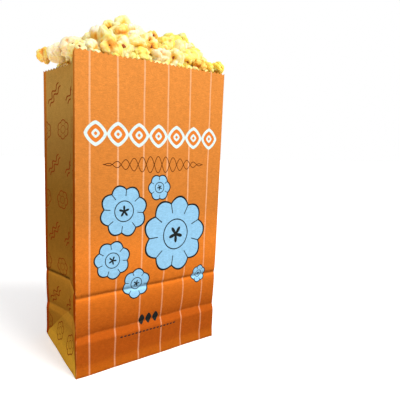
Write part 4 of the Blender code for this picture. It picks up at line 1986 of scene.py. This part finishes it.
def join_kernels(name: str, meshes: list[KernelMesh], net: Sphere) -> Object:
    """One piece that holds several kernels on the same net.

    Args:
        name: Name of the piece.
        meshes: The kernels.
        net: The net that they were built on.

    Returns:
        The piece, with the kernels' tones as one attribute, and as another the rise of each point's
        normal, which is one where it faces up and minus one where it faces down.
    """
    size = len(net.ways)
    points = np.concatenate([mesh.points for mesh in meshes])
    quads = np.concatenate([net.quads + size * i for i in range(len(meshes))])
    piece = mesh_piece(name, points, quads)
    tones = np.concatenate([mesh.tones for mesh in meshes]).astype(np.float32)
    layer = piece.data.color_attributes.new("tone", "FLOAT_COLOR", "POINT")
    layer.data.foreach_set("color", tones.reshape(-1))
    normals = np.empty(points.size, dtype=np.float32)
    piece.data.vertex_normals.foreach_get("vector", normals)
    write_attribute(piece, "rise", normals[2::3])
    return piece


@dataclass(frozen=True)
class Buttering:
    """Colours of one kind of popped kernel, and how far the butter spreads on it."""

    high: tuple
    low: tuple
    soaked: tuple
    # Colour of crevices and undersides: butter with painted shade.
    deep: tuple
    share: float


@dataclass(frozen=True)
class CornPalette:
    """Colours of popped corn."""

    white: Buttering = Buttering(
        linear(254, 239, 214), linear(252, 227, 186), linear(251, 217, 128), linear(245, 196, 84), 0.35
    )
    cream: Buttering = Buttering(
        linear(255, 243, 201), linear(254, 233, 162), linear(253, 220, 100), linear(246, 195, 50), 0.50
    )
    buttered: Buttering = Buttering(
        linear(255, 242, 172), linear(254, 233, 127), linear(253, 221, 68), linear(242, 182, 30), 0.75
    )
    toasted: Buttering = Buttering(
        linear(255, 232, 148), linear(252, 214, 102), linear(247, 190, 57), linear(226, 142, 26), 0.75
    )
    amber: tuple = linear(236, 150, 30)
    butter: tuple = linear(244, 188, 52)
    bran: tuple = linear(168, 70, 8)
    dark_bran: tuple = linear(100, 32, 3)

    def of(self, kind: KernelKind) -> Buttering:
        """Colours of a kind."""
        return getattr(self, kind.value)


@dataclass(frozen=True)
class FleshLook:
    """Where each effect on popped flesh comes in, how strong it is, and how the flesh takes light."""

    blotch: tuple[float, float] = (0.38, 0.66)
    soak: tuple[float, float] = (0.44, 0.70)
    own_soak: float = 0.16
    # Painted shade: undersides of the kernels are tinted towards the deep colour.
    underside_shade_level: float = -0.30
    underside_shade_soft: float = 0.45
    underside_shade_share: float = 0.45
    # Pits and creases take the deep colour: butter pooled there, and painted shade.
    pit_butter_and_shade: Band = Band(0.22, 0.90, 0.90)
    creases: Band = Band(0.50, 1.0, 0.65)
    halo: Band = Band(0.35, 0.98, 0.75)
    bump_strength: float = 0.7
    bump_height: float = 0.0010
    rough: float = 0.58
    gloss: float = 0.35
    glow: float = 0.65
    glow_radius: tuple[float, float, float] = (1.0, 0.80, 0.40)
    glow_depth: float = 0.0036


class CornFinish:
    """Materials of the popcorn."""

    def __init__(self, palette: CornPalette, look: FleshLook) -> None:
        """Takes what the materials are made from, and makes the shared group.

        Args:
            palette: Colours.
            look: How the flesh is coloured and lit.
        """
        self.palette = palette
        self.look = look
        self.skin = curd_group()

    def popped(self, kind: KernelKind) -> Material:
        """Popped flesh: cream, yellow where butter soaked in, amber by the hull, and deep tints in the
        crevices, which are butter and painted shade, and on the undersides, which are painted shade.

        Args:
            kind: How much butter the kernels have taken up.

        Returns:
            The material, which reads the tone and rise attributes.
        """
        look, tints = self.look, self.palette.of(kind)
        material, wires, shader = new_material(f"popped_corn_{kind.value}")
        tone = wires.node("ShaderNodeAttribute", attribute_name="tone")
        split = wires.node("ShaderNodeSeparateColor")
        wires.feed(split.inputs["Color"], tone.outputs["Color"])
        crease, deep, stain = (split.outputs[name] for name in ("Red", "Green", "Blue"))
        skin = wires.use(self.skin, Place=wires.solid_place())
        colour = wires.blend(wires.ease(skin["Blotch"], *look.blotch), tints.high, tints.low)
        spread = wires.plus(skin["Soak"], wires.times(tone.outputs["Alpha"], look.own_soak))
        soaked = wires.times(wires.ease(spread, *look.soak), tints.share)
        # Painted shade: where the normal points down, the colour is tinted towards the deep colour.
        under = wires.below(wires.attribute("rise"), look.underside_shade_level, look.underside_shade_soft)
        layers = (
            (soaked, tints.soaked),
            (wires.times(under, look.underside_shade_share), tints.deep),
            # Pits and creases take the deep colour: butter pooled there, and painted shade.
            (wires.band(deep, look.pit_butter_and_shade), tints.deep),
            (wires.band(crease, look.creases), tints.deep),
            (wires.band(stain, look.halo), self.palette.amber),
        )
        for share, ink in layers:
            colour = wires.blend(share, colour, ink)
        relief = wires.bump(skin["Height"], look.bump_strength, look.bump_height)
        wires.fill(shader, Base_Color=colour, Roughness=look.rough, Specular_IOR_Level=look.gloss)
        wires.fill(
            shader, Normal=relief, Subsurface_Weight=look.glow, Subsurface_Radius=look.glow_radius,
            Subsurface_Scale=look.glow_depth,
        )
        return material

    def hull(self) -> Material:
        """Hull shells: glossy brown skin, lighter where it is thin.

        Returns:
            The material.
        """
        material, wires, shader = new_material("corn_hull")
        patches = wires.noise(wires.solid_place(), 420.0, 3.0)
        colour = wires.blend(wires.ease(patches, 0.35, 0.68), self.palette.dark_bran, self.palette.bran)
        wires.fill(shader, Base_Color=colour, Roughness=0.45, Specular_IOR_Level=0.25)
        return material

    def core(self) -> Material:
        """Core: the shaded amber depth of the heap.

        Returns:
            The material.
        """
        material, wires, shader = new_material("popcorn_depth")
        patches = wires.noise(wires.solid_place(), 160.0, 4.0)
        colour = wires.blend(wires.ease(patches, 0.35, 0.65), self.palette.amber, self.palette.butter)
        wires.fill(shader, Base_Color=colour, Roughness=0.8, Normal=wires.bump(patches, 1.0, 0.0012))
        return material


@dataclass(frozen=True)
class Lamp:
    """A sun lamp: where it shines from, its spread in degrees, its strength and its colour."""

    name: str
    way: tuple[float, float, float]
    spread: float
    strength: float
    colour: tuple[float, float, float]


@dataclass
class Studio:
    """Camera, floor and lights."""

    camera_place: tuple[float, float, float] = (-0.17289, -0.29154, 0.18994)
    yaw: float = 28.66
    pitch: float = -7.39
    roll: float = 0.87
    image_side: float = 400.0
    focal_pixels: float = 332.56
    middle_pixel: float = 120.0
    sensor: float = 36.0
    nearest: float = 0.01
    floor_radius: float = 40.0
    floor_rings: int = 24
    floor_turns: int = 64
    floor_tones: tuple = ((0.92, 0.92, 0.92, 1.0), (0.94, 0.94, 0.94, 1.0))
    floor_glow: float = 0.35
    lamps: tuple[Lamp, ...] = (
        Lamp("key", (0.62, -1.10, 1.15), 34.0, 2.60, (1.0, 0.99, 0.97)),
        Lamp("top", (-0.20, -0.25, 1.20), 60.0, 1.25, (1.0, 1.0, 1.0)),
    )
    sky: float = 0.20

    def camera(self) -> None:
        """Sets the camera at the photo's place, with its framing as a sideways shift."""
        yaw, pitch, roll = (math.radians(angle) for angle in (self.yaw, self.pitch, self.roll))
        look = Vector((math.sin(yaw) * math.cos(pitch), math.cos(yaw) * math.cos(pitch), math.sin(pitch)))
        level = Vector((math.cos(yaw), -math.sin(yaw), 0.0))
        upward = level.cross(look)
        right = level * math.cos(roll) + upward * math.sin(roll)
        top = upward * math.cos(roll) - level * math.sin(roll)
        lens = bpy.data.cameras.new("camera")
        lens.sensor_width = self.sensor
        lens.lens = self.focal_pixels * self.sensor / self.image_side
        lens.shift_x = (self.image_side / 2 - self.middle_pixel) / self.image_side
        lens.clip_start = self.nearest
        holder = bpy.data.objects.new("camera", lens)
        turn = Matrix((right, top, -look)).transposed().to_4x4()
        holder.matrix_world = Matrix.Translation(self.camera_place) @ turn
        bpy.context.scene.collection.objects.link(holder)
        bpy.context.scene.camera = holder

    def floor(self) -> None:
        """Builds the floor: a disc of rings, whose radii grow as the square of their share."""
        share, turn = disc_grid(np.linspace(0.02, 1, self.floor_rings), self.floor_turns)
        radius = self.floor_radius * share**2
        points = np.stack([radius * np.cos(turn), radius * np.sin(turn), np.zeros_like(turn)], axis=-1)
        quads = grid_quads(self.floor_rings, self.floor_turns, closed=True)[:, ::-1]
        disc = mesh_piece("studio_floor", points.reshape(-1, 3), quads)
        material, wires, shader = new_material("pale_studio_floor")
        tone = wires.noise(wires.solid_place(), 2.0, 2.0)
        colour = wires.blend(tone, *self.floor_tones)
        wires.fill(shader, Base_Color=colour, Roughness=0.9, Specular_IOR_Level=0.1)
        wires.fill(shader, Emission_Color=(1.0, 1.0, 1.0, 1.0), Emission_Strength=self.floor_glow)
        disc.data.materials.append(material)

    def light(self) -> None:
        """Adds a soft key from the front right, a broad light from above, and a pale sky."""
        for lamp in self.lamps:
            sun = bpy.data.lights.new(lamp.name, "SUN")
            sun.angle = math.radians(lamp.spread)
            sun.energy = lamp.strength
            sun.color = lamp.colour
            holder = bpy.data.objects.new(lamp.name, sun)
            holder.location = lamp.way
            holder.rotation_euler = Vector(lamp.way).to_track_quat("Z", "Y").to_euler()
            bpy.context.scene.collection.objects.link(holder)
        world = bpy.data.worlds.new("pale_sky")
        world.use_nodes = True
        wires = Wiring(world.node_tree)
        seen = wires.node("ShaderNodeLightPath").outputs["Is Camera Ray"]
        strength = wires.plus(wires.times(seen, 1.0 - self.sky), self.sky)
        background = world.node_tree.nodes["Background"]
        wires.fill(background, Color=(1.0, 1.0, 1.0, 1.0), Strength=strength)
        bpy.context.scene.world = world
        bpy.context.scene.view_settings.view_transform = "Standard"


def main() -> None:
    """Builds the bag, the popcorn and the studio."""
    logging.basicConfig(level=logging.INFO, format="%(message)s")
    studio = Studio()
    studio.camera()
    bag = PaperBag()
    finish = SheetFinish(PaperPrint(), WearAndShade(), bag)
    wall = bag.build(finish)
    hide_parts(Part.BAG.value)
    for piece in bag.build_base(finish):
        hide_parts(Part.BAG.value)
    heap = PopcornHeap(bag)
    for piece in heap.build(CornFinish(CornPalette(), FleshLook())):
        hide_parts(Part.POPCORN.value)
    studio.floor()
    studio.light()


if __name__ == "__main__":
    main()
